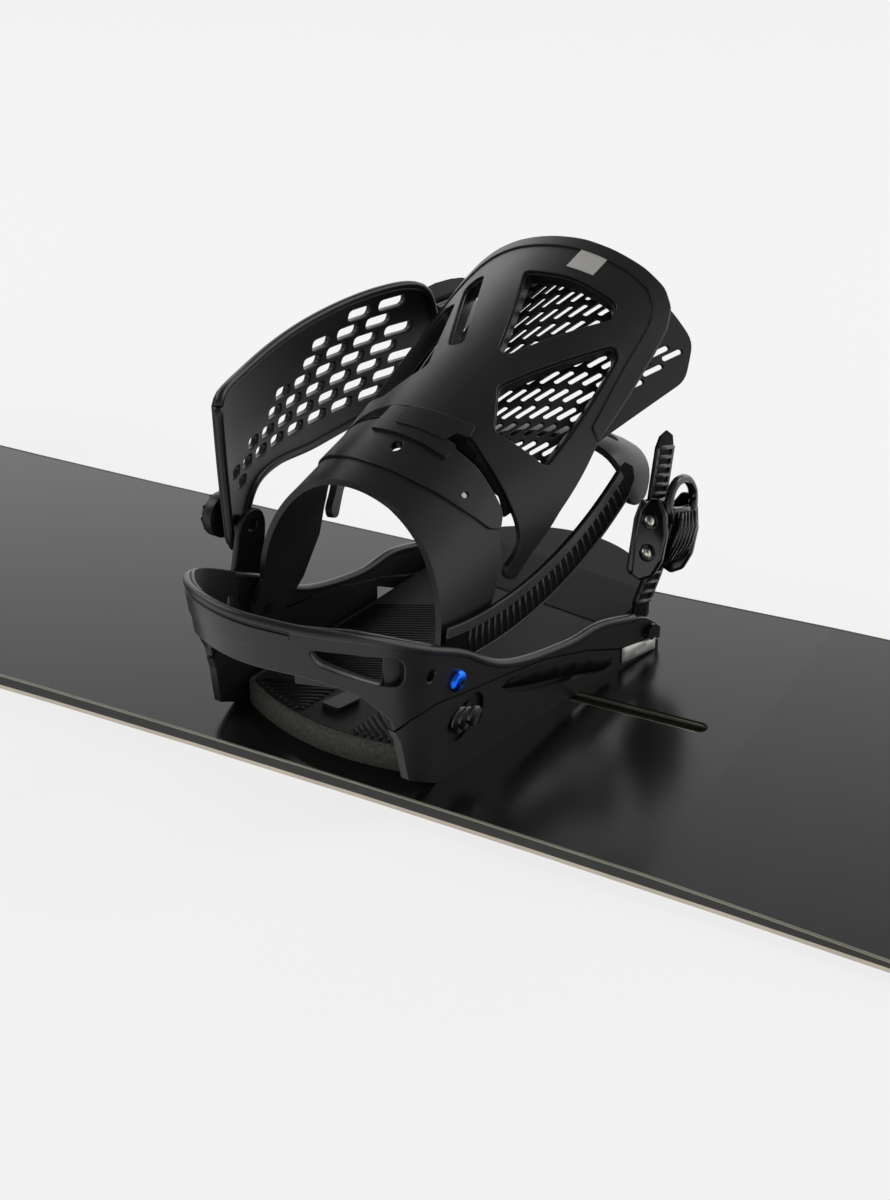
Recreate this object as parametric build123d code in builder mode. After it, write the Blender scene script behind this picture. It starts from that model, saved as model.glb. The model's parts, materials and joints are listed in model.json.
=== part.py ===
"""Snowboard with a pair of strap bindings.

Row frame: X along the board, Y across it with +Y at the toe edge, Z up.  The origin is the centre of
the running base.  One binding is drawn in its own frame (u towards the nose side, v towards the toes,
z up from the topsheet), placed on the board and mirrored for the other foot.
"""
from build123d import *
import math
import os

# ---------------------------------------------------------------- board
BOARD_LENGTH = 1580.0
WAIST = 252.0
SIDECUT_R = 8000.0
CONTACT_X = 600.0          # half the flat running length
TAPER_X = 460.0            # where the core starts to thin
TIP_R = 386.0              # side-view radius of the turned-up tips
TIP_ANGLE = 30.0
BOARD_T = 9.0
TIP_T = 6.2
EDGE_H = 2.4
EDGE_W = 2.2
SIDEWALL_W = 6.0
TOPSHEET_T = 0.8
CHANNEL_X = 313.5          # centre of each mounting channel
CHANNEL_LEN = 247.0
CHANNEL_MOUTH = 7.5
TOPSHEET_MOUTH = 11.0
TRACK_W = 24.0
TRACK_FLOOR = 3.2
TEE_LOW = 4.2
TEE_HIGH = 6.9
TEE_W = 18.0

# ---------------------------------------------------------------- stance
STANCE = 570.0
STANCE_ANGLE = 10.0
RIGHT_FOOT = Location((STANCE / 2, 0, BOARD_T), (0, 0, -STANCE_ANGLE))

# ---------------------------------------------------------------- chassis
HEEL_R = 69.0              # outer radius of the heel loop
HEEL_V = -102.0            # centre of the heel loop
RAIL_MID = 72.0            # outer half width at mid foot
RAIL_TOE = 79.0            # outer half width at the toe end
TOE_V = 88.0
WALL = 4.5
FLOOR_T = 5.0
SEAM = 0.3                 # gap between chassis and heel loop
DISC_R = 38.0
BOLT_SPREAD = 20.0         # channel bolts, each side of the disc centre
FIT = 0.05                 # radial clearance of pins and shafts

# ---------------------------------------------------------------- strap and highback pivots
PIVOT_V = -87.0
PIVOT_Z = 53.0
PIVOT_R = 3.0
TOE_PIVOT_V = 79.0
TOE_PIVOT_Z = 13.5
TOE_PIVOT_R = 2.5

# ---------------------------------------------------------------- ladders and buckles
LADDER_T = 2.2
LADDER_R = 216.0           # bend radius of the ankle ladder
LADDER_C = (-50, 66.5 + LADDER_R)
LADDER_IN = 60.9           # distance of the ankle ladder from the foot's centreline
TOE_LADDER_LEN = 104.0
TOE_BUCKLE_Y = 30.0        # lower end of the toe buckle along its ladder
BUCKLE_W = 30.0
BUCKLE_L = 44.0
CHEEK_T = 3.5
LEVER_PIN = 7.0            # height of the lever pin above the ladder
LEVER_PIN_Y = 12.0         # distance of the lever pin from the buckle's lower end

# ---------------------------------------------------------------- highback, folded down
FOLD_TILT = 20.0           # slope of the folded highback
CROWN_H = 110.0            # height of the outer skin above the highback datum
NECK_S = 60.0
NECK_R = 60.5
TOP_S = 249.0
TOP_R = 112.0
SKIN = 3.5
LINER_H = 97.0
HIGHBACK = Plane(
    origin=(0, -77, 26),
    x_dir=(1, 0, 0),
    z_dir=(0, -math.sin(math.radians(FOLD_TILT)), math.cos(math.radians(FOLD_TILT))),
)
HIGHBACK_SIDE = Plane(origin=HIGHBACK.origin, x_dir=HIGHBACK.y_dir, z_dir=(1, 0, 0))


def mirror_u(points):
    """The same outline on the other side of the foot's centreline."""
    return [(-u, v) for u, v in reversed(points)]


# ================================================================ board
def board_plan(inset):
    """Plan of the board with its sidecut and round tips, drawn smaller by inset."""
    half = BOARD_LENGTH / 2 - inset
    middle = WAIST / 2 - inset
    contact = middle + CONTACT_X ** 2 / (2 * SIDECUT_R)
    with BuildSketch() as plan:
        with BuildLine():
            for way in (1, -1):
                start = (-way * CONTACT_X, way * contact)
                end = (way * CONTACT_X, way * contact)
                side = ThreePointArc(start, (0, way * middle), end)
                shoulder = (way * (half - 60), way * (104 - inset))
                tip = (way * half, 0)
                Spline(end, shoulder, tip, tangents=(side % 1, (0, -way)))
                heading = (side % 1).X, -(side % 1).Y
                Spline(tip, (shoulder[0], -shoulder[1]), (end[0], -end[1]),
                       tangents=((0, -way), (-heading[0], -heading[1])))
        make_face()
    return plan.sketch


def board_side(low, high, low_tip, high_tip):
    """Side view of one layer: flat, thinning outwards, then bent up at both tips."""
    with BuildSketch(Plane.XZ) as side:
        with BuildLine():
            right, left = [], []
            for level, tip in ((low, low_tip), (high, high_tip)):
                taper = [(-TAPER_X, level), (TAPER_X, level)] if level != tip else []
                Polyline((-CONTACT_X, tip), *taper, (CONTACT_X, tip))
                right.append(CenterArc((CONTACT_X, TIP_R), TIP_R - tip, -90, TIP_ANGLE) @ 1)
                left.append(CenterArc((-CONTACT_X, TIP_R), TIP_R - tip, -90, -TIP_ANGLE) @ 1)
            Line(*right)
            Line(*left)
        make_face()
    return side.sketch


def board_layer(outer, inner, side):
    """A layer, or a ring of it, between two plan outlines."""
    with BuildPart() as layer:
        with BuildSketch():
            add(outer)
            if inner:
                add(inner, mode=Mode.SUBTRACT)
        extrude(amount=TIP_R / 4, both=True)
        with BuildSketch(Plane.XZ):
            add(side)
        extrude(amount=WAIST, both=True, mode=Mode.INTERSECT)
    return layer.part


full_plan = board_plan(0)
core_top = BOARD_T - TOPSHEET_T
core_top_tip = TIP_T - TOPSHEET_T
edge_side = board_side(0, EDGE_H, 0, EDGE_H)
core_side = board_side(EDGE_H, core_top, EDGE_H, core_top_tip)
top_side = board_side(core_top, BOARD_T, core_top_tip, TIP_T)

with BuildPart() as board_base:
    add(board_layer(board_plan(EDGE_W), None, edge_side))

with BuildPart() as board_edges:
    add(board_layer(full_plan, board_plan(EDGE_W), edge_side))

with BuildPart() as board_sidewalls:
    add(board_layer(full_plan, board_plan(SIDEWALL_W), core_side))

with BuildPart() as board_core:
    add(board_layer(board_plan(SIDEWALL_W), None, core_side))
    with BuildSketch(Plane.XY.offset(TRACK_FLOOR)):
        with Locations((-CHANNEL_X, 0), (CHANNEL_X, 0)):
            SlotOverall(CHANNEL_LEN + TRACK_W - CHANNEL_MOUTH, TRACK_W)
    extrude(amount=BOARD_T, mode=Mode.SUBTRACT)

with BuildPart() as board_topsheet:
    add(board_layer(full_plan, None, top_side))
    with BuildSketch():
        with Locations((-CHANNEL_X, 0), (CHANNEL_X, 0)):
            SlotOverall(CHANNEL_LEN, TOPSHEET_MOUTH)
    extrude(amount=2 * BOARD_T, mode=Mode.SUBTRACT)

with BuildPart() as channel_track:
    with BuildSketch(Plane.XY.offset(TRACK_FLOOR)):
        with Locations((CHANNEL_X, 0)):
            SlotOverall(CHANNEL_LEN + TRACK_W - CHANNEL_MOUTH, TRACK_W)
    extrude(amount=core_top - TRACK_FLOOR)
    with BuildSketch(Plane.XY.offset(TEE_LOW)):
        with Locations((CHANNEL_X, 0)):
            SlotOverall(CHANNEL_LEN + TEE_W - CHANNEL_MOUTH, TEE_W)
    extrude(amount=TEE_HIGH - TEE_LOW, mode=Mode.SUBTRACT)
    with BuildSketch(Plane.XY.offset(TEE_HIGH)):
        with Locations((CHANNEL_X, 0)):
            SlotOverall(CHANNEL_LEN, CHANNEL_MOUTH)
    extrude(amount=BOARD_T, mode=Mode.SUBTRACT)


# ================================================================ chassis
def chassis_plan(inset, toe_v=TOE_V):
    """Plan of the U-shaped rails and heel loop, drawn smaller by inset."""
    heel = HEEL_R - inset
    flare = (RAIL_TOE - RAIL_MID) / TOE_V * toe_v
    rail = [(heel, HEEL_V), (RAIL_MID - inset, 0), (RAIL_MID - inset + flare, toe_v)]
    with BuildSketch() as plan:
        with BuildLine():
            Polyline(*rail)
            Polyline(*mirror_u(rail))
            Line(rail[-1], mirror_u(rail)[0])
            ThreePointArc(mirror_u(rail)[-1], (0, HEEL_V - heel), rail[0])
        make_face()
    return plan.sketch


def side_view(points):
    """A closed straight-sided outline in the foot's side view, as (v, z) points."""
    with BuildSketch(Plane.YZ) as view:
        with BuildLine():
            Polyline(*points, close=True)
        make_face()
    return view.sketch


REAR_EDGE = [(-103, 0), (-122, 10), (-126, 33), (-129, 40)]
SEAM_LINE = [(-120, 44), (-103, 46), (-70, 41), (-46, 38), (-14, 33), (23, 23), (50, 13), (68, 8), (90, 4)]
RIM_LINE = [(90, 12), (76, 23), (55, 30), (34, 34.5), (9, 34), (-28, 40), (-54, 49), (-80, 66), (-108, 82),
            (-144, 95), (-175, 101)]
LOOP_UNDERSIDE = [(-175, 81), (-162, 75), (-147, 63), (-135, 50)]
SCOOP = [(-46, 28), (-46, 35), (-14, 30), (20, 19), (40, 9), (47, 6), (38, 5), (0, 13), (-30, 21)]

HEEL_BOLT = (-76, 28.5)

with BuildPart() as baseplate:
    with BuildSketch():
        add(chassis_plan(0))
        add(chassis_plan(WALL, TOE_V + WALL), mode=Mode.SUBTRACT)
    extrude(amount=BOARD_LENGTH / 10)
    with BuildSketch(Plane.YZ):
        with BuildLine():
            Polyline(*REAR_EDGE)
            Polyline(REAR_EDGE[-1], *SEAM_LINE)
            Polyline(SEAM_LINE[-1], (SEAM_LINE[-1][0], 0), REAR_EDGE[0])
        make_face()
    extrude(amount=2 * RAIL_TOE, both=True, mode=Mode.INTERSECT)
    with BuildSketch():
        add(chassis_plan(WALL))
        with Locations((0, HEEL_V - 20)):
            Rectangle(4 * HEEL_R, 120, mode=Mode.SUBTRACT)
        Circle(DISC_R, mode=Mode.SUBTRACT)
    extrude(amount=FLOOR_T)
    for side in (-1, 1):
        face = Plane(origin=(side * RAIL_MID, 0, 0), x_dir=(0, 1, 0), z_dir=(1, 0, 0))
        with BuildSketch(face):
            with Locations(Location((-80, 28.5), 22)):
                SlotOverall(31, 17)
        extrude(amount=side * -(RAIL_MID - HEEL_R + 1.2), mode=Mode.SUBTRACT)
        with BuildSketch(face.offset(side * 5)):
            add(Plane.YZ.to_local_coords(side_view(SCOOP)))
        extrude(amount=side * -8, mode=Mode.SUBTRACT)
        with BuildSketch(face):
            with Locations(HEEL_BOLT):
                Circle(PIVOT_R + FIT)
        extrude(amount=side * -4 * WALL, mode=Mode.SUBTRACT)

with BuildPart() as heel_hoop:
    with BuildSketch():
        add(chassis_plan(0))
        add(chassis_plan(WALL, TOE_V + WALL), mode=Mode.SUBTRACT)
    extrude(amount=BOARD_LENGTH / 10)
    with BuildSketch(Plane.YZ):
        with BuildLine():
            Spline(*RIM_LINE)
            Line(RIM_LINE[-1], LOOP_UNDERSIDE[0])
            underside = Spline(*LOOP_UNDERSIDE, (REAR_EDGE[-1][0], REAR_EDGE[-1][1] + SEAM))
            Polyline(underside @ 1, *[(v, z + SEAM) for v, z in SEAM_LINE], RIM_LINE[0])
        make_face()
    extrude(amount=2 * RAIL_TOE, both=True, mode=Mode.INTERSECT)
    with BuildSketch(Plane.YZ):
        with BuildLine():
            Polyline((-160, 92), (-150, 93), (-130, 84), (-126, 76), (-130, 67), (-146, 76), close=True)
        make_face()
        fillet(vertices(), radius=2)
    extrude(amount=2 * RAIL_TOE, mode=Mode.SUBTRACT)
    with BuildSketch(Plane.YZ):
        with Locations((PIVOT_V, PIVOT_Z), (PIVOT_V - 20, PIVOT_Z + 11)):
            Circle(PIVOT_R + FIT)
        with Locations((TOE_PIVOT_V, TOE_PIVOT_Z)):
            Circle(TOE_PIVOT_R + FIT)
    extrude(amount=2 * RAIL_TOE, both=True, mode=Mode.SUBTRACT)

with BuildPart() as heel_pad:
    with BuildSketch():
        with BuildLine():
            rear = ThreePointArc((-62, -99), (0, -114), (62, -99))
            Polyline(rear @ 1, (62, -63), (-62, -63), rear @ 0)
        make_face()
    extrude(amount=14)
    chamfer(faces().sort_by(Axis.Y)[0].edges().sort_by(Axis.Z)[-1], length=1.5, length2=1.5)

with BuildPart() as footbed:
    with BuildSketch(Plane.YZ):
        with BuildLine():
            Polyline((-62.7, 5.3), (-62.7, 14), (0, 15), (62, 18), (62, 5.3), close=True)
        make_face()
    extrude(amount=64, both=True)

with BuildPart() as toe_pad:
    with BuildSketch():
        with BuildLine():
            toe = Spline((-62, 104), (-30, 127), (5, 134), (35, 127), (62, 104))
            Polyline(toe @ 1, (64, 85), (64, 62.3), (-64, 62.3), (-64, 85), toe @ 0)
        make_face()
    extrude(amount=60)
    with BuildSketch(Plane.YZ):
        with BuildLine():
            Polyline((60, 5.3), (60, 18), (100, 25), (136, 29), (136, 20), (95, 5.3), close=True)
        make_face()
    extrude(amount=80, both=True, mode=Mode.INTERSECT)

bolt_du = BOLT_SPREAD * math.cos(math.radians(STANCE_ANGLE))
bolt_dv = BOLT_SPREAD * math.sin(math.radians(STANCE_ANGLE))
BOLTS = [(-bolt_du, -bolt_dv), (bolt_du, bolt_dv)]

with BuildPart() as disc:
    with BuildSketch():
        Circle(DISC_R - 0.2)
    extrude(amount=FLOOR_T)
    with Locations(*[Location((u, v, FLOOR_T)) for u, v in BOLTS]):
        CounterBoreHole(PIVOT_R + 0.2, 6.3, 3.2, depth=2 * FLOOR_T)

with BuildPart() as channel_bolts:
    with BuildSketch(Plane.XY.offset(TEE_LOW - BOARD_T + 0.3)):
        with Locations(*BOLTS):
            Circle(PIVOT_R)
    extrude(amount=6.6)
    with BuildSketch(Plane.XY.offset(FLOOR_T - 3.1)):
        with Locations(*BOLTS):
            Circle(6)
    extrude(amount=3)
    with BuildSketch(Plane.XY.offset(FLOOR_T - 0.1)):
        with Locations(*BOLTS):
            RegularPolygon(2, 6)
    extrude(amount=-1.5, mode=Mode.SUBTRACT)

with BuildPart() as channel_nuts:
    with BuildSketch(Plane.XY.offset(TEE_LOW - BOARD_T + 0.2)):
        with Locations(*[Location((u, v), STANCE_ANGLE) for u, v in BOLTS]):
            Rectangle(20, 15)
            Circle(PIVOT_R + FIT, mode=Mode.SUBTRACT)
    extrude(amount=2.2)

with BuildPart() as frame_bolts:
    for side in (-1, 1):
        heel_steps = [(HEEL_R - 5.5, 6, PIVOT_R), (HEEL_R - 1.1, 1.4, 7), (HEEL_R + 0.3, 2.6, 5.5)]
        for start, length, radius in heel_steps:
            with BuildSketch(Plane.YZ.offset(side * start)):
                with Locations(HEEL_BOLT):
                    Circle(radius)
            extrude(amount=side * length)
        with BuildSketch(Plane.YZ.offset(side * (HEEL_R + 2.9))):
            with Locations(HEEL_BOLT):
                RegularPolygon(2.4, 6)
        extrude(amount=side * -1.6, mode=Mode.SUBTRACT)
        for start, length, radius in [(67.5, 12, TOE_PIVOT_R), (79.2, 2, 4.6)]:
            with BuildSketch(Plane.YZ.offset(side * start)):
                with Locations((TOE_PIVOT_V, TOE_PIVOT_Z)):
                    Circle(radius)
            extrude(amount=side * length)

with BuildPart() as pivot_screws:
    for side, head in ((1, 69.8), (-1, 74.8)):
        for start, end, radius in [(55.5, head, PIVOT_R), (head, head + 2.6, 5)]:
            with BuildSketch(Plane.YZ.offset(side * start)):
                with Locations((PIVOT_V, PIVOT_Z)):
                    Circle(radius)
            extrude(amount=side * (end - start))
        fillet(faces().sort_by(Axis.X)[-1 if side > 0 else 0].edges(), radius=1.2)
        with BuildSketch(Plane.YZ.offset(side * (head + 2.6))):
            with Locations((PIVOT_V, PIVOT_Z)):
                RegularPolygon(2, 6)
        extrude(amount=side * -1.4, mode=Mode.SUBTRACT)


# ================================================================ highback
def arch(station, radius, crown, foot):
    """Cross-section of the highback at a station: a half circle on two straight legs."""
    centre = crown - radius
    plane = Plane(origin=HIGHBACK.from_local_coords((0, station, 0)), x_dir=(1, 0, 0), z_dir=-HIGHBACK.y_dir)
    with BuildSketch(plane) as section:
        with BuildLine():
            ThreePointArc((-radius, centre), (0, crown), (radius, centre))
            Polyline((radius, centre), (radius, foot), (-radius, foot), (-radius, centre))
        make_face()
    return section.sketch


def arch_shell(stations, skin, foot=-30):
    """A tapering arch of even thickness through (station, radius, crown) sections."""
    with BuildPart() as shell:
        for station, radius, crown in stations:
            add(arch(station, radius, crown, foot))
        loft(ruled=True)
    with BuildPart() as hollow:
        for station, radius, crown in stations:
            add(arch(station, radius - skin, crown - skin, foot))
        loft(ruled=True)
    return shell.part - hollow.part


def outline(plane, points, round_to=0.0):
    """A closed outline on a plane, with its corners rounded."""
    with BuildSketch(plane) as flat:
        with BuildLine():
            Polyline(*points, close=True)
        make_face()
        if round_to:
            fillet(flat.vertices(), radius=round_to)
    return flat.sketch


SHELL_SIDE = [
    (95, 120), (95, 107), (88, 96), (81, 76), (78, 60), (70, 52), (62, 48), (61, 41),
    (66, 37), (78, 45), (103, 56), (145, 70), (191, 81), (228, 86), (256, 88), (256, 120),
]
BAND_SIDE = [
    (84, 120), (84, 109), (80, 102), (73, 88), (70, 72), (62, 56), (50, 40), (30, 26), (12, 20),
    (-4, 18), (-11, 27), (-7, 38), (4, 46), (14, 66), (26, 88), (32, 102), (34, 110), (34, 120),
]
OUTER_WING_SIDE = SHELL_SIDE[:11] + [(145, 62), (170, 60), (191, 58), (228, 70), (256, 72), (256, 120)]
LINER_SIDE = [
    (84, 120), (84, 80), (90, 64), (120, 54), (156, 58), (224, 50), (243, 62), (248, 90), (248, 120),
]
UPPER_WINDOW = [(-19, 216), (12, 219), (41, 216), (45, 206), (15, 150), (8, 152)]
LOWER_WINDOW = [(23, 129), (53, 192), (58, 188), (61, 110), (37, 104)]
UPPER_SLIT = [(-49, 216), (-13, 149), (-22, 146), (-58, 206), (-57, 214)]

with BuildPart() as highback_shell:
    add(arch_shell([(NECK_S, NECK_R, CROWN_H), (TOP_S + 4, TOP_R, CROWN_H)], SKIN))
    with BuildPart(mode=Mode.INTERSECT):
        for way, side_points in ((1, SHELL_SIDE), (-1, OUTER_WING_SIDE)):
            with BuildSketch(HIGHBACK_SIDE):
                add(outline(Plane.XY, side_points))
            extrude(amount=way * 2 * TOP_R)
    with BuildSketch(HIGHBACK):
        with BuildLine():
            Polyline((-66, 55), (-74, 120), (-79, 165), (-80, 190), (-78, 226))
            crest = Spline((-78, 226), (-71, 238), (-48, 246), (0, TOP_S), (40, 247), (58, 240), (66, 226))
            Polyline(crest @ 1, (70, 190), (70, 55), (-66, 55))
        make_face()
    extrude(amount=2 * CROWN_H, mode=Mode.INTERSECT)
    with BuildSketch(HIGHBACK):
        add(outline(Plane.XY, UPPER_WINDOW, 2))
        add(outline(Plane.XY, LOWER_WINDOW, 2))
        add(outline(Plane.XY, mirror_u(LOWER_WINDOW), 2))
        add(outline(Plane.XY, UPPER_SLIT, 1.5))
    extrude(amount=2 * CROWN_H, mode=Mode.SUBTRACT)

with BuildPart() as highback_liner:
    add(arch_shell([(70, 52, LINER_H), (160, 59, LINER_H), (250, 62, LINER_H - 2)], 2.5))
    with BuildSketch(HIGHBACK_SIDE):
        add(outline(Plane.XY, LINER_SIDE, 2))
    extrude(amount=2 * TOP_R, both=True, mode=Mode.INTERSECT)

BAND_HOLE = (5, 65)
SCREW_SPOTS = [(-44, 64), (44, 64)]

with BuildPart() as heel_band:
    add(arch_shell([(-20, NECK_R, CROWN_H), (90, NECK_R, CROWN_H)], SKIN))
    with BuildSketch(HIGHBACK_SIDE):
        add(outline(Plane.XY, BAND_SIDE))
    extrude(amount=2 * TOP_R, both=True, mode=Mode.INTERSECT)
    with BuildSketch(HIGHBACK):
        with Locations(BAND_HOLE):
            Circle(3.5)
        with Locations(*SCREW_SPOTS):
            Circle(1.5)
    extrude(amount=2 * CROWN_H, mode=Mode.SUBTRACT)
    with BuildSketch(Plane.YZ):
        with Locations((PIVOT_V, PIVOT_Z)):
            Circle(PIVOT_R + FIT)
    extrude(amount=2 * TOP_R, both=True, mode=Mode.SUBTRACT)

with BuildPart() as lean_adjuster:
    add(arch_shell([(60, NECK_R + 3.3, CROWN_H + 3.3), (93, NECK_R + 3.3, CROWN_H + 3.3)], 3.0))
    with BuildSketch(HIGHBACK):
        add(outline(Plane.XY, [(-17, 91), (-17, 72), (30, 72), (30, 82), (22, 82), (22, 91)], 1))
    extrude(amount=2 * CROWN_H, mode=Mode.INTERSECT)

with BuildPart() as highback_screws:
    with BuildSketch(HIGHBACK.offset(70)):
        with Locations(*SCREW_SPOTS):
            Circle(1.4)
    extrude(amount=40)
    add(arch_shell([(-20, NECK_R + 0.5, CROWN_H + 0.5), (90, NECK_R + 0.5, CROWN_H + 0.5)], SKIN + 1),
        mode=Mode.INTERSECT)

with BuildPart() as highback_label:
    add(arch_shell([(NECK_S, NECK_R + 0.5, CROWN_H + 0.5), (TOP_S + 4, TOP_R + 0.5, CROWN_H + 0.5)], 0.4))
    with BuildSketch(HIGHBACK):
        with Locations((12, 236)):
            Rectangle(17, 22)
    extrude(amount=2 * CROWN_H, mode=Mode.INTERSECT)


# ================================================================ ankle strap and ladder
PAD_SIDE = [
    (-102, 173), (-60, 172), (0, 178), (54, 181), (92, 174), (94, 140), (78, 112),
    (34, 108), (0, 107), (-50, 112), (-66, 108), (-70, 84), (-92, 84), (-94, 120),
]

with BuildPart() as ankle_pad:
    with BuildSketch():
        with BuildLine():
            curve = ThreePointArc((-73.8, -101), (-98.5, 8), (-87, 94))
        trace(curve, line_width=WALL)
    extrude(amount=200)
    with BuildSketch(Plane.YZ):
        add(Plane.YZ.to_local_coords(side_view(PAD_SIDE)))
    extrude(amount=2 * TOP_R, both=True, mode=Mode.INTERSECT)
    with BuildSketch(Plane.YZ):
        with Locations((-81, 96)):
            Circle(PIVOT_R + FIT)
    extrude(amount=-2 * TOP_R, mode=Mode.SUBTRACT)

with BuildPart() as ankle_arm:
    with BuildSketch(Plane.YZ.offset(-74.4)):
        with BuildLine():
            Polyline((-98, 52), (-90, 98), (-74, 98), (-76, 52), close=True)
        make_face()
        with Locations((PIVOT_V, PIVOT_Z)):
            Circle(11)
        with Locations((-82, 98)):
            Circle(8)
        with Locations((PIVOT_V, PIVOT_Z), (-81, 96)):
            Circle(PIVOT_R + FIT, mode=Mode.SUBTRACT)
    extrude(amount=4)

with BuildPart() as ankle_knob:
    for start, length, radius in [(70.6, 20, PIVOT_R), (74.5, 3.0, 5)]:
        with BuildSketch(Plane.YZ.offset(-start)):
            with Locations((-81, 96)):
                Circle(radius)
        extrude(amount=-length)
    with BuildSketch(Plane.YZ.offset(-89.6)):
        with Locations((-81, 96)):
            Circle(9)
            with PolarLocations(9.6, 10):
                Circle(1.8, mode=Mode.SUBTRACT)
    extrude(amount=-6)


with BuildPart() as ankle_ladder:
    with BuildSketch(Plane.YZ.offset(LADDER_IN)):
        with BuildLine():
            strip = CenterArc(LADDER_C, LADDER_R, -94, 38)
        trace(strip, line_width=22)
        with Locations(strip @ 1):
            Circle(11)
        with BuildLine():
            Polyline((-62, 77.5), (-92, 71), (-98, 54), (-88, 43), (-80, 44), (-62, 55.5), close=True)
        make_face()
        with Locations((PIVOT_V, PIVOT_Z)):
            Circle(9)
            Circle(PIVOT_R + FIT, mode=Mode.SUBTRACT)
    extrude(amount=LADDER_T - 0.8)
    with BuildSketch(Plane.YZ.offset(LADDER_IN + LADDER_T - 0.8)):
        with Locations(LADDER_C):
            with PolarLocations(LADDER_R + 2.5, 24, start_angle=-91, angular_range=33.6, endpoint=True):
                Rectangle(15, 2.4)
    extrude(amount=0.8)


def buckle(plane, start):
    """Ratchet buckle: base with a ladder slot, two cheeks and the lever's pin."""
    spot = plane.offset(-4)
    with BuildPart() as body:
        with BuildSketch(spot):
            with Locations((0, start + BUCKLE_L / 2)):
                RectangleRounded(BUCKLE_W, BUCKLE_L, 5)
        extrude(amount=15)
        with BuildSketch(plane.offset(3.4)):
            with Locations((0, start + BUCKLE_L / 2)):
                Rectangle(BUCKLE_W - 2 * CHEEK_T, BUCKLE_L + 1)
        extrude(amount=20, mode=Mode.SUBTRACT)
        with BuildSketch(plane.offset(-1.7)):
            with Locations((0, start + BUCKLE_L / 2)):
                Rectangle(21, BUCKLE_L + 1)
        extrude(amount=4, mode=Mode.SUBTRACT)
        with BuildSketch(plane.offset(1)):
            with Locations((0, start + BUCKLE_L * 0.7)):
                Rectangle(21, BUCKLE_L * 0.7)
        extrude(amount=4, mode=Mode.SUBTRACT)
        across = Plane(
            origin=plane.from_local_coords((-BUCKLE_W / 2, start + LEVER_PIN_Y, LEVER_PIN)),
            x_dir=plane.y_dir,
            z_dir=plane.x_dir,
        )
        with BuildSketch(across):
            Circle(2)
        extrude(amount=BUCKLE_W)
    return body.part


def lever(plane, start):
    """Ratchet lever with a finger loop, turning on the buckle's pin."""
    width = BUCKLE_W - 2 * CHEEK_T - 0.8
    across = Plane(
        origin=plane.from_local_coords((-width / 2, start + LEVER_PIN_Y, LEVER_PIN)),
        x_dir=plane.y_dir,
        z_dir=plane.x_dir,
    )
    with BuildPart() as body:
        with BuildSketch(across):
            with BuildLine():
                Polyline((-3.4, 0), (-3, 3.6), (8, 5), (34, 8), (48, 6),
                         (48, 3), (34, 4), (8, -1), (0, -3.4), close=True)
            make_face()
            Circle(3.5)
            Circle(2 + FIT, mode=Mode.SUBTRACT)
        extrude(amount=width)
        with BuildSketch(plane.offset(LEVER_PIN - 4)):
            with Locations((0, start + LEVER_PIN_Y + 26)):
                SlotOverall(22, 12, rotation=90)
        extrude(amount=20, mode=Mode.SUBTRACT)
    return body.part


# the ankle buckle lies along the pad's free end, its lever on the outside
ANKLE_BUCKLE = Plane(origin=(-91, 95.5, 156), x_dir=(0, 0, 1), z_dir=(-1, 0, 0))

with BuildPart() as ankle_buckle:
    add(buckle(ANKLE_BUCKLE, 0))

with BuildPart() as ankle_lever:
    add(lever(ANKLE_BUCKLE, 0))

# ================================================================ toe strap and ladder
LEAN_IN = math.radians(1.5)    # the toe ladder leans over the foot
LEAN_ON = math.radians(13.5)   # and towards the toes
TOE_LADDER = Plane(
    origin=(70.4, TOE_PIVOT_V, TOE_PIVOT_Z),
    x_dir=(math.sin(LEAN_ON) * math.sin(LEAN_IN), math.cos(LEAN_ON), -math.sin(LEAN_ON) * math.cos(LEAN_IN)),
    z_dir=(math.cos(LEAN_IN), 0, math.sin(LEAN_IN)),
)
TOE_ARCH = Plane(
    origin=(0, TOE_PIVOT_V, TOE_PIVOT_Z),
    x_dir=(1, 0, 0),
    z_dir=(0, -math.cos(LEAN_ON), math.sin(LEAN_ON)),
)

with BuildPart() as toe_ladder:
    with BuildSketch(TOE_LADDER.offset(-LADDER_T / 2)):
        with BuildLine():
            Polyline((-7, 0), (-9, 14), (-9, TOE_LADDER_LEN), (9, TOE_LADDER_LEN), (9, 14), (7, 0),
                     close=True)
        make_face()
        with Locations((0, TOE_LADDER_LEN)):
            Circle(9)
        Circle(7.4)
    extrude(amount=LADDER_T - 0.8)
    with BuildSketch(TOE_LADDER.offset(LADDER_T / 2 - 0.8)):
        with Locations(*[(0, 16 + 5 * i) for i in range(18)]):
            Rectangle(14, 2.4)
    extrude(amount=0.8)
    with BuildSketch(Plane.YZ):
        with Locations((TOE_PIVOT_V, TOE_PIVOT_Z)):
            Circle(TOE_PIVOT_R + 2 * FIT)
    extrude(amount=2 * RAIL_TOE, mode=Mode.SUBTRACT)

with BuildPart() as toe_strap:
    with BuildSketch(TOE_ARCH.offset(-16)):
        with BuildLine():
            cap = Spline((-69.6, 12), (-69.6, 40), (-56, 76), (-15, 95), (30, 97), (48.5, 86), (52.8, 66))
        trace(cap, line_width=4.5)
    extrude(amount=32)
    with BuildSketch(Plane.YZ.offset(-72.0)):
        with Locations((TOE_PIVOT_V, TOE_PIVOT_Z)):
            Circle(8)
        with BuildLine():
            Polyline((TOE_PIVOT_V - 8, 12), (TOE_PIVOT_V - 10, 28), (TOE_PIVOT_V + 16, 28), (TOE_PIVOT_V + 8, 12),
                     close=True)
        make_face()
    extrude(amount=4)
    with BuildSketch(Plane.YZ):
        with Locations((TOE_PIVOT_V, TOE_PIVOT_Z)):
            Circle(TOE_PIVOT_R + FIT)
    extrude(amount=-2 * RAIL_TOE, mode=Mode.SUBTRACT)

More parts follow.
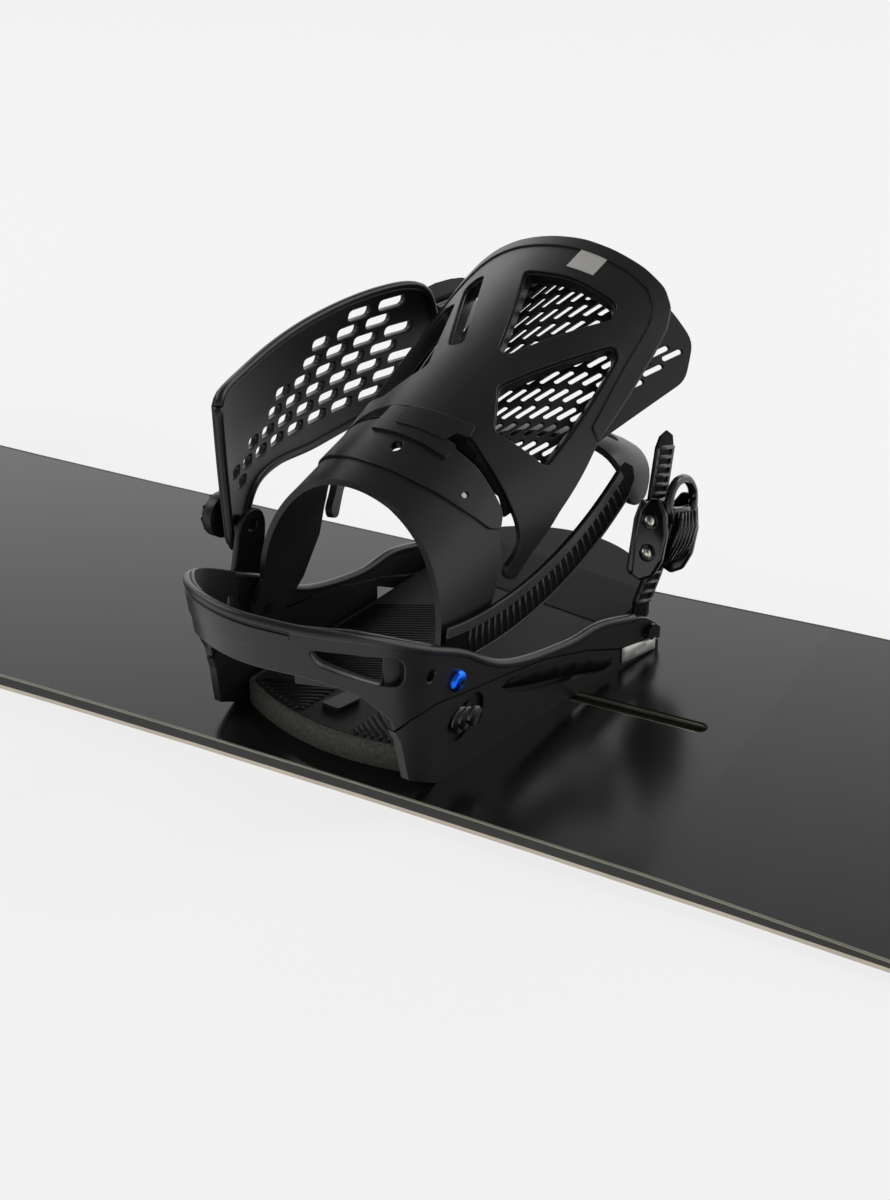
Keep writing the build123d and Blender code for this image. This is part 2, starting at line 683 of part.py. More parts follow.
with BuildPart() as toe_buckle:
    add(buckle(TOE_LADDER, TOE_BUCKLE_Y))

with BuildPart() as toe_lever:
    add(lever(TOE_LADDER, TOE_BUCKLE_Y))


# ================================================================ labels and files
board = {
    "board_base": board_base,
    "board_steel_edges": board_edges,
    "board_core": board_core,
    "board_sidewalls": board_sidewalls,
    "board_topsheet": board_topsheet,
}
binding = {
    "baseplate": baseplate,
    "heel_hoop": heel_hoop,
    "footbed": footbed,
    "heel_pad": heel_pad,
    "toe_pad": toe_pad,
    "channel_disc": disc,
    "channel_bolts": channel_bolts,
    "channel_nuts": channel_nuts,
    "frame_bolts": frame_bolts,
    "pivot_screws": pivot_screws,
    "highback_shell": highback_shell,
    "highback_liner": highback_liner,
    "heel_band": heel_band,
    "lean_adjuster": lean_adjuster,
    "highback_screws": highback_screws,
    "highback_label": highback_label,
    "ankle_pad": ankle_pad,
    "ankle_arm": ankle_arm,
    "ankle_knob": ankle_knob,
    "ankle_buckle": ankle_buckle,
    "ankle_lever": ankle_lever,
    "ankle_ladder": ankle_ladder,
    "toe_strap": toe_strap,
    "toe_buckle": toe_buckle,
    "toe_lever": toe_lever,
    "toe_ladder": toe_ladder,
}

os.makedirs("parts", exist_ok=True)
for name, piece in board.items():
    piece.part.label = name
    export_step(piece.part, f"parts/{name}.step")

pairs = {name: piece.part.moved(RIGHT_FOOT) for name, piece in binding.items()}
pairs["channel_track"] = channel_track.part
for name, right in pairs.items():
    right.label = f"right_{name}"
    export_step(right, f"parts/right_{name}.step")
    left = right.mirror(Plane.YZ)
    left.label = f"left_{name}"
    export_step(left, f"parts/left_{name}.step")
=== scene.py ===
import json
import math

import bmesh
import bpy
import numpy as np
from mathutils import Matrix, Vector
from mathutils.geometry import delaunay_2d_cdt
from mathutils.kdtree import KDTree


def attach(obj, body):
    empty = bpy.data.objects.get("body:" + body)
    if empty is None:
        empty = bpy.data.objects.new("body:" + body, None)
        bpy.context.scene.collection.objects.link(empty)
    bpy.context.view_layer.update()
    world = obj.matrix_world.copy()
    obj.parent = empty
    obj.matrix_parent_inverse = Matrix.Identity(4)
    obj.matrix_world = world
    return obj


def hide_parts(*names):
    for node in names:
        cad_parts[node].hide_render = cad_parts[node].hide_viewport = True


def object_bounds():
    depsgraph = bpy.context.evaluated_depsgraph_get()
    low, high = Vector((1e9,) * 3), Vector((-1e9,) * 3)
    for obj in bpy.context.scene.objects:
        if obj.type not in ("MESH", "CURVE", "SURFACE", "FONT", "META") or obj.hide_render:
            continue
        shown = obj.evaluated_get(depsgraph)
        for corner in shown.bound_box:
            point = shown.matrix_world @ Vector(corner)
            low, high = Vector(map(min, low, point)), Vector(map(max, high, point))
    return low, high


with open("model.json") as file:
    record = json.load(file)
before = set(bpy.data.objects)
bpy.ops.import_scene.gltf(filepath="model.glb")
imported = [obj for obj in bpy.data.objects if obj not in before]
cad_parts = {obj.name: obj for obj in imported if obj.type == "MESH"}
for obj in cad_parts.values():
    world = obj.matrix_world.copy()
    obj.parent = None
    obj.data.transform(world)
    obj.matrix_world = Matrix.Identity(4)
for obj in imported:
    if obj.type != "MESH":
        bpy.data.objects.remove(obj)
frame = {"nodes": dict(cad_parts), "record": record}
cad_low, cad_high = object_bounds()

scene = bpy.context.scene
MM = 0.001

# ------------------------------------------------------------------ camera, fitted to the photo
camera_data = bpy.data.cameras.new("camera")
camera_data.sensor_width = 36
camera_data.lens = 66.84
camera = bpy.data.objects.new("camera", camera_data)
camera.location = (0.785, -0.962, 0.615)
camera.rotation_euler = (math.radians(62.45), 0, math.radians(27.68))
scene.collection.objects.link(camera)
scene.camera = camera
scene.view_settings.view_transform = "Standard"


# ------------------------------------------------------------------ materials
def node(tree, kind, at, **settings):
    made = tree.nodes.new(kind)
    made.location = at
    for name, value in settings.items():
        setattr(made, name, value)
    return made


def finish(name, base, rough, metallic=0.0, coat=0.0, coat_rough=0.2, grain=900.0, bump=0.15,
           depth=0.00005, mottle=0.25, spread=0.06, specular=0.5, second=None):
    """A procedural finish: fine grain in relief, and soft mottling of its colour and gloss.

    With a second colour, the fine grain speckles the two colours instead of the mottling.
    """
    material = bpy.data.materials.new(name)
    material.use_nodes = True
    tree = material.node_tree
    shader = tree.nodes["Principled BSDF"]
    shader.inputs["Metallic"].default_value = metallic
    shader.inputs["Coat Weight"].default_value = coat
    shader.inputs["Coat Roughness"].default_value = coat_rough
    shader.inputs["Specular IOR Level"].default_value = specular
    place = node(tree, "ShaderNodeTexCoord", (-1000, 0))
    broad = node(tree, "ShaderNodeTexNoise", (-800, 150))
    broad.inputs["Scale"].default_value = 38.0
    broad.inputs["Detail"].default_value = 5.0
    fine = node(tree, "ShaderNodeTexNoise", (-800, -200))
    fine.inputs["Scale"].default_value = grain
    fine.inputs["Detail"].default_value = 3.0
    tree.links.new(place.outputs["Object"], broad.inputs["Vector"])
    tree.links.new(place.outputs["Object"], fine.inputs["Vector"])
    colour = node(tree, "ShaderNodeMix", (-400, 200), data_type="RGBA")
    low = [c * (1 - mottle) for c in base]
    high = list(second) if second else [c * (1 + mottle) for c in base]
    colour.inputs["A"].default_value = (*low, 1)
    colour.inputs["B"].default_value = (*high, 1)
    source = fine if second else broad
    tree.links.new(source.outputs["Fac"], colour.inputs["Factor"])
    tree.links.new(colour.outputs["Result"], shader.inputs["Base Color"])
    gloss = node(tree, "ShaderNodeMapRange", (-400, -50))
    gloss.inputs["To Min"].default_value = max(0.02, rough - spread)
    gloss.inputs["To Max"].default_value = min(1.0, rough + spread)
    tree.links.new(broad.outputs["Fac"], gloss.inputs["Value"])
    tree.links.new(gloss.outputs["Result"], shader.inputs["Roughness"])
    relief = node(tree, "ShaderNodeBump", (-400, -300))
    relief.inputs["Strength"].default_value = bump
    relief.inputs["Distance"].default_value = depth
    tree.links.new(fine.outputs["Fac"], relief.inputs["Height"])
    tree.links.new(relief.outputs["Normal"], shader.inputs["Normal"])
    return material


MATERIALS = {
    "base_sheet": finish("base_sheet", (0.03, 0.03, 0.034), 0.35),
    "steel": finish("steel", (0.62, 0.55, 0.46), 0.42, metallic=0.6, grain=500, bump=0.3),
    "wood_core": finish("wood_core", (0.5, 0.36, 0.2), 0.6),
    "sidewall": finish("sidewall", (0.020, 0.020, 0.016), 0.5, bump=0.3, mottle=0.6),
    "topsheet": finish("topsheet", (0.006, 0.006, 0.007), 0.2, bump=0.03, spread=0.03, mottle=0.1),
    "edge_line": finish("edge_line", (0.30, 0.29, 0.22), 0.4, bump=0.1),
    "channel_metal": finish("channel_metal", (0.36, 0.35, 0.28), 0.35, metallic=0.8, bump=0.1),
    "chassis_nylon": finish("chassis_nylon", (0.0085, 0.0085, 0.0092), 0.4, bump=0.25, specular=0.42),
    "hoop_nylon": finish("hoop_nylon", (0.0092, 0.0092, 0.0092), 0.34, bump=0.2, specular=0.45),
    "eva_foam": finish("eva_foam", (0.004, 0.004, 0.003), 0.8, grain=620, bump=1.0, depth=0.0004,
                       second=(0.15, 0.146, 0.12)),
    "tread_rubber": finish("tread_rubber", (0.010, 0.010, 0.0092), 0.6, bump=0.4, depth=0.0001,
                           specular=0.35),
    "black_steel": finish("black_steel", (0.015, 0.015, 0.016), 0.3, metallic=0.6, bump=0.1),
    "blue_anodised": finish("blue_anodised", (0.015, 0.14, 0.85), 0.16, metallic=1.0, bump=0.05),
    "shell_nylon": finish("shell_nylon", (0.0088, 0.0088, 0.0080), 0.36, bump=0.2, specular=0.42),
    "liner_rubber": finish("liner_rubber", (0.006, 0.006, 0.006), 0.5, bump=0.3, specular=0.3),
    "label": finish("label", (0.6, 0.59, 0.55), 0.38, metallic=0.3, bump=0.05, mottle=0.05),
    "silver_screw": finish("silver_screw", (0.85, 0.82, 0.72), 0.22, metallic=1.0, bump=0.05),
    "strap_rubber": finish("strap_rubber", (0.0062, 0.0062, 0.0060), 0.34, bump=0.25, specular=0.42),
    "ladder_nylon": finish("ladder_nylon", (0.024, 0.024, 0.025), 0.32, bump=0.15),
    # painted shade: a near-black copy of the dark nylons, for the floors of gaps, slots and recesses where
    # shade falls
    "painted_shade_black": finish("painted_shade_black", (0.0015, 0.0015, 0.0015), 0.6, bump=0.1, specular=0.1),
    "buckle_alloy": finish("buckle_alloy", (0.0045, 0.0045, 0.005), 0.17, coat=0.35, coat_rough=0.1,
                           bump=0.06),
}

for sub in frame["record"]["subparts"]:
    part = frame["nodes"][sub["node"]]
    part.data.materials.clear()
    part.data.materials.append(MATERIALS[sub["material_slot"]])
    part.data.polygons.foreach_set("use_smooth", [True] * len(part.data.polygons))
    part.data.set_sharp_from_angle(angle=math.radians(32))

# ------------------------------------------------------------------ the right foot's own frame, in mm
FEET = (("right", 1), ("left", -1))   # each foot's name, and the sign of x on its side of the board
STANCE_X = 285.0                      # half the distance between the feet
BOARD_TOP = 9.0
TURN = math.radians(10)               # each foot's toes turn outwards
TILT = math.radians(20)               # slope of the folded highback
NECK_S, NECK_R = 60.0, 60.5           # the shell's radius at its neck, this far along it
TOP_S, TOP_R = 253.0, 112.0           # and at its top
CROWN = 110.0                         # height of the shell's crown above the datum
LINER_CROWN = 97.0                    # the same for the liner
SPREAD = 80.0                         # a flat pattern's width for each radian around the arch
SLIVER = 0.08                         # twice the area, in square mm, below which a triangle is dropped
PIVOT_V, PIVOT_Z = -87, 53            # the two screws that the highback and the ladder turn on
KNOB_V, KNOB_Z = -81, 96              # the knob that holds the ankle pad to its arm


def placed(point, sign):
    """A point of the foot's frame (across, toewards, up) on the board, in metres."""
    u, v, z = point
    x = STANCE_X + u * math.cos(TURN) + v * math.sin(TURN)
    y = -u * math.sin(TURN) + v * math.cos(TURN)
    return Vector((sign * x * MM, y * MM, (z + BOARD_TOP) * MM))


def folded(u, s, h):
    """A point of the folded highback (across, along, up from its datum) in the foot's frame."""
    return u, -77 + s * math.cos(TILT) - h * math.sin(TILT), 26 + s * math.sin(TILT) + h * math.cos(TILT)


# ------------------------------------------------------------------ pieces and shapes
def soften(obj, thick=0.0, bevel=0.0, segments=2, angle=40, offset=-1.0):
    """Gives a sheet its thickness, and rounds every edge sharper than the angle."""
    if thick:
        wall = obj.modifiers.new("wall", "SOLIDIFY")
        wall.thickness = thick * MM
        wall.offset = offset
        wall.use_even_offset = False
    if bevel:
        edge = obj.modifiers.new("edge", "BEVEL")
        edge.width = bevel * MM
        edge.segments = segments
        edge.limit_method = "ANGLE"
        edge.angle_limit = math.radians(angle)
        edge.harden_normals = True


def piece(name, points, faces, body, slot, stands_for=(), sharp=None, paint=None, **edges):
    """The same mesh on both feet, mirrored for the left, riding on its body."""
    made = []
    for side, sign in FEET:
        mesh = bpy.data.meshes.new(f"{side}_{name}")
        mesh.from_pydata([placed(p, sign) for p in points], [], [f[::sign] for f in faces])
        mesh.polygons.foreach_set("use_smooth", [True] * len(mesh.polygons))
        if sharp:
            mesh.set_sharp_from_angle(angle=math.radians(sharp))
        mesh.materials.append(MATERIALS[paint or slot])
        obj = bpy.data.objects.new(mesh.name, mesh)
        scene.collection.objects.link(obj)
        soften(obj, **edges)
        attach(obj, body if body == "board" else f"{side}_{body}")
        if stands_for:
            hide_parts(*[f"{side}_{n}" for n in stands_for])
        made.append(obj)
    return made


def inside(points, ring):
    """Which of the points lie inside a closed outline."""
    hit = np.zeros(len(points), bool)
    x, y = points[:, 0], points[:, 1]
    for (x1, y1), (x2, y2) in zip(ring, ring[1:] + ring[:1]):
        if y1 != y2:
            hit ^= ((y1 > y) != (y2 > y)) & (x < (x2 - x1) * (y - y1) / (y2 - y1) + x1)
    return hit


def circle(x, y, radius, sides=16):
    turns = [2 * math.pi * k / sides for k in range(sides)]
    return [(x + radius * math.cos(a), y + radius * math.sin(a)) for a in turns]


def dense(ring, step):
    """The closed outline with points added, none further apart than the step."""
    out = []
    for a, b in zip(ring, ring[1:] + ring[:1]):
        count = max(1, math.ceil(math.dist(a, b) / step))
        out += [(a[0] + (b[0] - a[0]) * k / count, a[1] + (b[1] - a[1]) * k / count) for k in range(count)]
    return out


def rounded(ring, radius, parts=4):
    """The closed outline with its corners rounded."""
    out = []
    for before, at, after in zip(ring[-1:] + ring[:-1], ring, ring[1:] + ring[:1]):
        start, corner, end = Vector(before), Vector(at), Vector(after)
        cut = min(radius, (start - corner).length * 0.45, (end - corner).length * 0.45)
        p = corner + (start - corner).normalized() * cut
        q = corner + (end - corner).normalized() * cut
        for k in range(parts + 1):
            t = k / parts
            out.append(tuple(p * (1 - t) ** 2 + corner * 2 * t * (1 - t) + q * t * t))
    return out


def smooth_path(points, parts=6):
    """A smooth line through points (Catmull-Rom)."""
    p = [Vector(points[0])] + [Vector(q) for q in points] + [Vector(points[-1])]
    out = []
    for a, b, c, d in zip(p, p[1:], p[2:], p[3:]):
        for k in range(parts):
            t = k / parts
            out.append(0.5 * (2 * b + (c - a) * t + (2 * a - 5 * b + 4 * c - d) * t * t
                              + (3 * b - a - 3 * c + d) * t ** 3))
    return [tuple(q) for q in out] + [tuple(p[-1])]


def even(ring, step):
    """A closed smooth outline through the points, in steps of equal length."""
    path = smooth_path([(*p, 0) for p in ring + ring[:1]], 12)
    runs = np.cumsum([0.0] + [math.dist(a, b) for a, b in zip(path, path[1:])])
    at = np.linspace(0, runs[-1], int(runs[-1] / step), endpoint=False)
    xs, ys = [p[0] for p in path], [p[1] for p in path]
    return [(float(np.interp(r, runs, xs)), float(np.interp(r, runs, ys))) for r in at]


def panel(outline, holes, step, lift):
    """Triangles over a flat outline with holes, each point then lifted onto its surface."""
    rings = [dense(outline, step)] + [dense(h, step) for h in holes]
    flat, edges = [], []
    for ring in rings:
        first = len(flat)
        flat += ring
        edges += [(first + i, first + (i + 1) % len(ring)) for i in range(len(ring))]
    near = KDTree(len(flat))
    for i, p in enumerate(flat):
        near.insert((p[0], p[1], 0), i)
    near.balance()
    xs, ys = zip(*rings[0])
    row = step * 0.866                # rows of equilateral triangles
    grid = [(min(xs) + step * (i + 0.5 * (j % 2)), min(ys) + row * j)
            for i in range(int((max(xs) - min(xs)) / step) + 2)
            for j in range(int((max(ys) - min(ys)) / step / 0.866) + 2)]

    def solid(points):
        keep = inside(points, rings[0])
        for ring in rings[1:]:
            hx, hy = zip(*ring)
            across = (points[:, 0] > min(hx)) & (points[:, 0] < max(hx))
            along = (points[:, 1] > min(hy)) & (points[:, 1] < max(hy))
            close = np.flatnonzero(keep & across & along)
            keep[close[inside(points[close], ring)]] = False
        return keep

    clear = 0.6 * step                # grid points closer than this to an outline are left out
    fill = [p for p, k in zip(grid, solid(np.array(grid))) if k and near.find((*p, 0))[2] > clear]
    points, _, faces = delaunay_2d_cdt([Vector(p) for p in flat + fill], edges, [], 0, 1e-4)[:3]
    corners = np.array([[points[i] for i in f] for f in faces])
    one, two = corners[:, 1] - corners[:, 0], corners[:, 2] - corners[:, 0]
    doubled = abs(one[:, 0] * two[:, 1] - one[:, 1] * two[:, 0])      # twice each triangle's area
    keep = solid(corners.mean(axis=1)) & (doubled > SLIVER)
    return [lift(p[0], p[1]) for p in points], [list(f) for f, k in zip(faces, keep) if k]


def band(ring, lower, upper, closed=True):
    """A strip of quads between two lifts of the same line."""
    points = [lower(*p) for p in ring] + [upper(*p) for p in ring]
    n = len(ring)
    return points, [[i, (i + 1) % n, n + (i + 1) % n, n + i] for i in range(n if closed else n - 1)]


def tube(path, radius, sides=12, up=(0, 0, 1)):
    """A tube along a path, with flat ends; the radius may change along it."""
    points, faces = [], []
    path = [Vector(p) for p in path]
    n = len(path)
    for i, p in enumerate(path):
        ahead = (path[min(i + 1, n - 1)] - path[max(i - 1, 0)]).normalized()
        across = ahead.cross(Vector(up)).normalized()
        high = across.cross(ahead)
        r = radius[i] if isinstance(radius, (list, tuple)) else radius
        for k in range(sides):
            a = 2 * math.pi * k / sides
            points.append(tuple(p + across * r * math.cos(a) + high * r * math.sin(a)))
    for i in range(n - 1):
        for k in range(sides):
            q = (k + 1) % sides
            faces.append([i * sides + k, i * sides + q, (i + 1) * sides + q, (i + 1) * sides + k])
    faces += [list(range(sides))[::-1], [(n - 1) * sides + k for k in range(sides)]]
    return points, faces


def join(*parts):
    points, faces = [], []
    for some, rest in parts:
        first = len(points)
        points += some
        faces += [[i + first for i in f] for f in rest]
    return points, faces


def bar(lift, section, ends):
    """A low bar, open underneath: a four-point section carried from one end to the other."""
    points = [lift(end, at, h) for end in ends for at, h in section]
    return points, [[0, 1, 5, 4], [1, 2, 6, 5], [2, 3, 7, 6], [0, 3, 2, 1], [4, 5, 6, 7]]


# ------------------------------------------------------------------ bevels on the larger CAD nodes
BEVELLED = {"baseplate": 0.9, "heel_pad": 0.9, "heel_band": 0.7, "footbed": 0.6, "toe_pad": 0.8,
            "lean_adjuster": 0.5, "channel_disc": 0.6}
for name, width in BEVELLED.items():
    for side, sign in FEET:
        soften(frame["nodes"][f"{side}_{name}"], bevel=width, angle=50)


# ------------------------------------------------------------------ board edge
def upper_rim(part):
    """The outer edge of a sheet's upper face, in order, in metres."""
    build = bmesh.new()
    build.from_mesh(part.data)
    build.transform(part.matrix_world)
    bmesh.ops.remove_doubles(build, verts=build.verts, dist=1e-6)
    build.normal_update()
    follow = {}
    for edge in build.edges:
        if sum(face.normal.z > 0.5 for face in edge.link_faces) == 1 and len(edge.link_faces) == 2:
            for a, b in (edge.verts, reversed(edge.verts)):
                follow.setdefault(a.index, []).append(b.index)
    places = [v.co.copy() for v in build.verts]
    build.free()
    loop = [max(follow, key=lambda i: places[i].x)]
    while True:
        ahead = [i for i in follow[loop[-1]] if i not in loop[-2:]]
        if not ahead or ahead[0] == loop[0]:
            return [places[i] for i in loop]
        loop.append(ahead[0])


LINE_R = 0.7                          # half the pale line's width, in mm
rim_points = upper_rim(frame["nodes"]["board_topsheet"])
rim_curve = bpy.data.curves.new("topsheet_line", "CURVE")
rim_curve.dimensions = "3D"
rim_curve.bevel_depth = LINE_R * MM
rim_curve.bevel_resolution = 2
spline = rim_curve.splines.new("POLY")
spline.points.add(len(rim_points) - 1)
for point, at in zip(spline.points, rim_points):
    point.co = (at.x, at.y, at.z - LINE_R / 2 * MM, 1)
spline.use_cyclic_u = True
rim_curve.materials.append(MATERIALS["edge_line"])
edge_line = bpy.data.objects.new("topsheet_line", rim_curve)
scene.collection.objects.link(edge_line)
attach(edge_line, "board")


# ------------------------------------------------------------------ highback
def shell_radius(s):
    return NECK_R + (s - NECK_S) * (TOP_R - NECK_R) / (TOP_S - NECK_S)


def liner_radius(s):
    return 52 + (s - 70) * 0.16


def on_arch(radius, crown, drop=0.0):
    """Lifts a flat pattern (distance around, distance along) onto the arch, or below it."""
    def lift(x, s):
        around, r = x / SPREAD, radius(s) - drop
        bend = min(abs(around), math.pi / 2)
        u = math.copysign(r * math.sin(bend), around)
        h = crown - radius(s) + r * math.cos(bend) - (abs(around) - bend) * r
        return folded(u, s, h)
    return lift


def on_shell(drop=0.0):
    return on_arch(shell_radius, CROWN, drop)


def by_width(points, radius):
    """The flat pattern of points given as (across, along)."""
    return [(SPREAD * math.asin(u / radius(s)), s) for u, s in points]


def by_height(points, radius, crown):
    """The flat pattern of points given as (along, up); below the arch its walls are straight."""
    out = []
    for s, h in points:
        r = radius(s)
        above = h - crown + r
        around = math.acos(min(1, above / r)) if above > 0 else math.pi / 2 - above / r
        out.append((SPREAD * around, s))
    return out


def both_halves(half):
    return half + [(-x, s) for x, s in reversed(half) if abs(x) > 1e-6]


shell_foot = by_height(
    [(95, 107), (92, 102), (88, 96), (84, 86), (81, 76), (79, 67), (76, 57), (70, 51), (62, 47),
     (61, 41), (66, 37), (78, 45), (103, 56)], shell_radius, CROWN)
near_wing = by_width([(70, 145), (70, 170), (69, 191), (66, 222), (62, 234), (54, 242), (40, 246),
                      (20, 248)], shell_radius)
far_wing = by_width([(-75, 145), (-79, 168), (-80, 190), (-79, 215), (-77, 228), (-70, 238),
                     (-60, 243), (-46, 246), (-20, 248)], shell_radius)
windows = [
    [(-19, 216), (12, 219), (41, 216), (45, 206), (15, 150), (8, 152)],
    [(23, 129), (53, 192), (58, 188), (61, 110), (37, 104)],
    [(-37, 104), (-62, 112), (-67, 180), (-64, 192), (-53, 192), (-23, 129)],
    [(-49, 216), (-13, 149), (-22, 146), (-58, 206), (-57, 214)],
]
windows = [rounded(by_width(w, shell_radius), 4) for w in windows]
shell_edge = [(0, 95)] + shell_foot + near_wing + [(0, 249)] + far_wing[::-1]
shell_edge = rounded(shell_edge + [(-x, s) for x, s in reversed(shell_foot)], 2.5, 2)
points, faces = panel(shell_edge, windows, 5, on_shell())
piece("shell_moulding", points, faces, "highback", "shell_nylon", ["highback_shell"], thick=4.2,
      bevel=1.9, segments=3)
walls = [band(dense(w, 5), on_shell(2), on_shell(8.5)) for w in windows]
piece("window_walls", *join(*walls), "highback", "shell_nylon", thick=1.8, bevel=0.4, offset=0)
flange = [p for p in dense(shell_edge, 5) if p[1] > 100]
lips = [band([p for p in flange if p[0] * way > 0], on_shell(2), on_shell(9), False) for way in (1, -1)]
piece("shell_flange", *join(*lips), "highback", "shell_nylon", thick=2.4, bevel=0.5, offset=0)

BORDER_WIDE, BORDER_S = 8.5, 165      # the border runs inwards this far, towards this point along
border = [p for p in shell_edge if p[1] > 108]
inward = []
for x, s in border:
    pull = min(1, BORDER_WIDE / math.dist((x, s), (0, BORDER_S)))
    inward.append((x * (1 - pull), s + (BORDER_S - s) * pull))
points, faces = panel(border + inward[::-1], [], 4, on_shell(-1.1))
piece("shell_border", points, faces, "highback", "shell_nylon", thick=1.6, bevel=0.8)

liner_side = [(84, 80), (90, 64), (120, 54), (156, 58), (224, 50), (243, 62), (247, 80)]
liner_half = [(0, 84)] + by_height(liner_side, liner_radius, LINER_CROWN) + [(0, 248)]
liner_edge = rounded(both_halves(liner_half), 6)
slots = []
for column in range(-13, 14):
    for row in range(10):
        x, s = column * 6.4, 97 + row * 16.2 + (column % 3) * 5.4
        slot = rounded([(x - 2.9, s - 6.6), (x + 0.1, s - 7.0), (x + 2.9, s + 6.6), (x - 0.1, s + 7.0)],
                       1.2, 2)
        in_field = all(abs(px) < 84 and 92 < ps < 238 for px, ps in slot)
        if in_field and inside(np.array(slot), liner_edge).all():
            slots.append(slot)
points, faces = panel(liner_edge, slots, 4.5, on_arch(liner_radius, LINER_CROWN))
piece("liner_lattice", points, faces, "highback", "liner_rubber", ["highback_liner"], thick=2.2,
      bevel=0.5, segments=1)


# ------------------------------------------------------------------ ankle pad
def circle_through(a, b, c):
    """Centre and radius of the circle through three points."""
    rows = np.array([[2 * (q[0] - a[0]), 2 * (q[1] - a[1])] for q in (b, c)])
    sums = [q[0] ** 2 - a[0] ** 2 + q[1] ** 2 - a[1] ** 2 for q in (b, c)]
    middle = np.linalg.solve(rows, sums)
    return tuple(float(m) for m in middle), math.dist(middle, a)


PAD_HEEL, PAD_MIDDLE, PAD_TOE = (-73.8, -101), (-98.5, 8), (-87, 94)
PAD_CENTRE, PAD_R = circle_through(PAD_HEEL, PAD_MIDDLE, PAD_TOE)


def on_pad(out=0.0):
    """Lifts (distance along the pad from its heel end, height) onto its curved wall."""
    start = math.atan2(PAD_HEEL[1] - PAD_CENTRE[1], PAD_HEEL[0] - PAD_CENTRE[0])

    def lift(x, z):
        angle = start - x / PAD_R
        return (PAD_CENTRE[0] + (PAD_R + out) * math.cos(angle),
                PAD_CENTRE[1] + (PAD_R + out) * math.sin(angle), z)
    return lift


pad_edge = even([(3, 168), (12, 173), (42, 174.5), (104, 180), (160, 182), (190, 178), (200, 164),
                 (200, 142), (188, 120), (165, 111), (140, 109), (104, 107), (70, 110), (48, 108),
                 (36, 99), (31, 87), (23, 82), (14, 85), (10, 104), (6, 135)], 5)
pad_holes = []
for row in range(8):
    x, z = 16 + row * 7.0, 114.5 + row * 8.3
    while x < 200:
        wide = 4.2 + 0.035 * x        # half a hole's length, longer towards the toes
        hole = rounded([(x - wide, z - 2.6), (x + wide - 1.5, z - 2.9), (x + wide, z + 2.6),
                        (x - wide + 1.5, z + 2.9)], 2.3, 2)
        around = [(px + dx, pz + dz) for px, pz in hole for dx in (-4, 4) for dz in (-4.5, 4.5)]
        if z < 123 + (x - 14) * 0.42 and inside(np.array(around), pad_edge).all():
            pad_holes.append(hole)
        x += 2 * wide + 4.2 + 0.012 * x
points, faces = panel(pad_edge, pad_holes, 5, on_pad())
pads = piece("ankle_cushion", points, faces, "ankle_strap", "strap_rubber", ["ankle_pad"], thick=4.5,
             bevel=1.2)
rim_bar = [on_pad(0.4)(x, z) for x, z in pad_edge]
piece("cushion_rim", *tube(rim_bar + rim_bar[:1], 2.6, 10), "ankle_strap", "strap_rubber")

ARM_U = -74.4
arm = even([(-98, 50), (-101, 60), (-96, 78), (-92, 96), (-86, 104), (-76, 104), (-71, 96), (-73, 78),
            (-76, 62), (-78, 46), (-88, 41)], 4)
arm_holes = [circle(PIVOT_V, PIVOT_Z, 3.3, 12), circle(KNOB_V, KNOB_Z, 3.3, 12)]
points, faces = panel(arm, arm_holes, 4, lambda v, z: (ARM_U, v, z))
piece("arm_blade", points, faces, "ankle_strap", "strap_rubber", ["ankle_arm"], thick=3.8, bevel=1.3,
      segments=3, offset=1.0)
# the knob's profile, as (distance out, radius)
knob = [(72.5, 3.0), (89.0, 3.0), (89.2, 10.5), (90.2, 12.4), (95.5, 12.6), (97.2, 11.6), (98.0, 9.0)]
knob_parts = [tube([(-u, KNOB_V, KNOB_Z) for u, _ in knob], [r for _, r in knob], 28)]
for k in range(10):
    a = k * math.pi / 5
    grip = [(u, KNOB_V + r * math.cos(a), KNOB_Z + r * math.sin(a)) for u, r in ((-96.6, 10), (-98.6, 9))]
    knob_parts.append(tube(grip, [2.2, 1.4], 8, up=(0, 1, 0)))
piece("knob_body", *join(*knob_parts), "ankle_strap", "black_steel", ["ankle_knob"], sharp=50)

# ------------------------------------------------------------------ heel hoop
HEEL_R, HEEL_V = 69.0, -102.0         # the loop's radius, and its centre along the foot
QUARTER = HEEL_R * math.pi / 2        # run along the loop from the rear centre to the straight rail
FLARE_Z, FLARE_TALL = 58, 42          # the wall leans outwards over this height
SPLAY_RUN = 102                       # along the rail, where it starts to splay more


def on_rail(out=0.0):
    """Lifts (run along the chassis from the rear centre, height) onto its outer wall."""
    def lift(x, z):
        way, run = math.copysign(1, x), abs(x)
        rise = min(1, max(0, (z - FLARE_Z) / FLARE_TALL))
        flare = 4.5 * rise ** 1.5 * min(1, max(0, 1.35 - run / QUARTER))
        if run < QUARTER:
            r = HEEL_R + out + flare
            return way * r * math.sin(run / HEEL_R), HEEL_V - r * math.cos(run / HEEL_R), z
        ahead = run - QUARTER
        splay = 3 * ahead / SPLAY_RUN if ahead < SPLAY_RUN else 3 + 7 * (ahead - SPLAY_RUN) / 88
        return way * (HEEL_R + splay + out + flare), HEEL_V + ahead, z
    return lift


def run_at(v):
    """The run of a point on the straight rail."""
    return QUARTER + v - HEEL_V


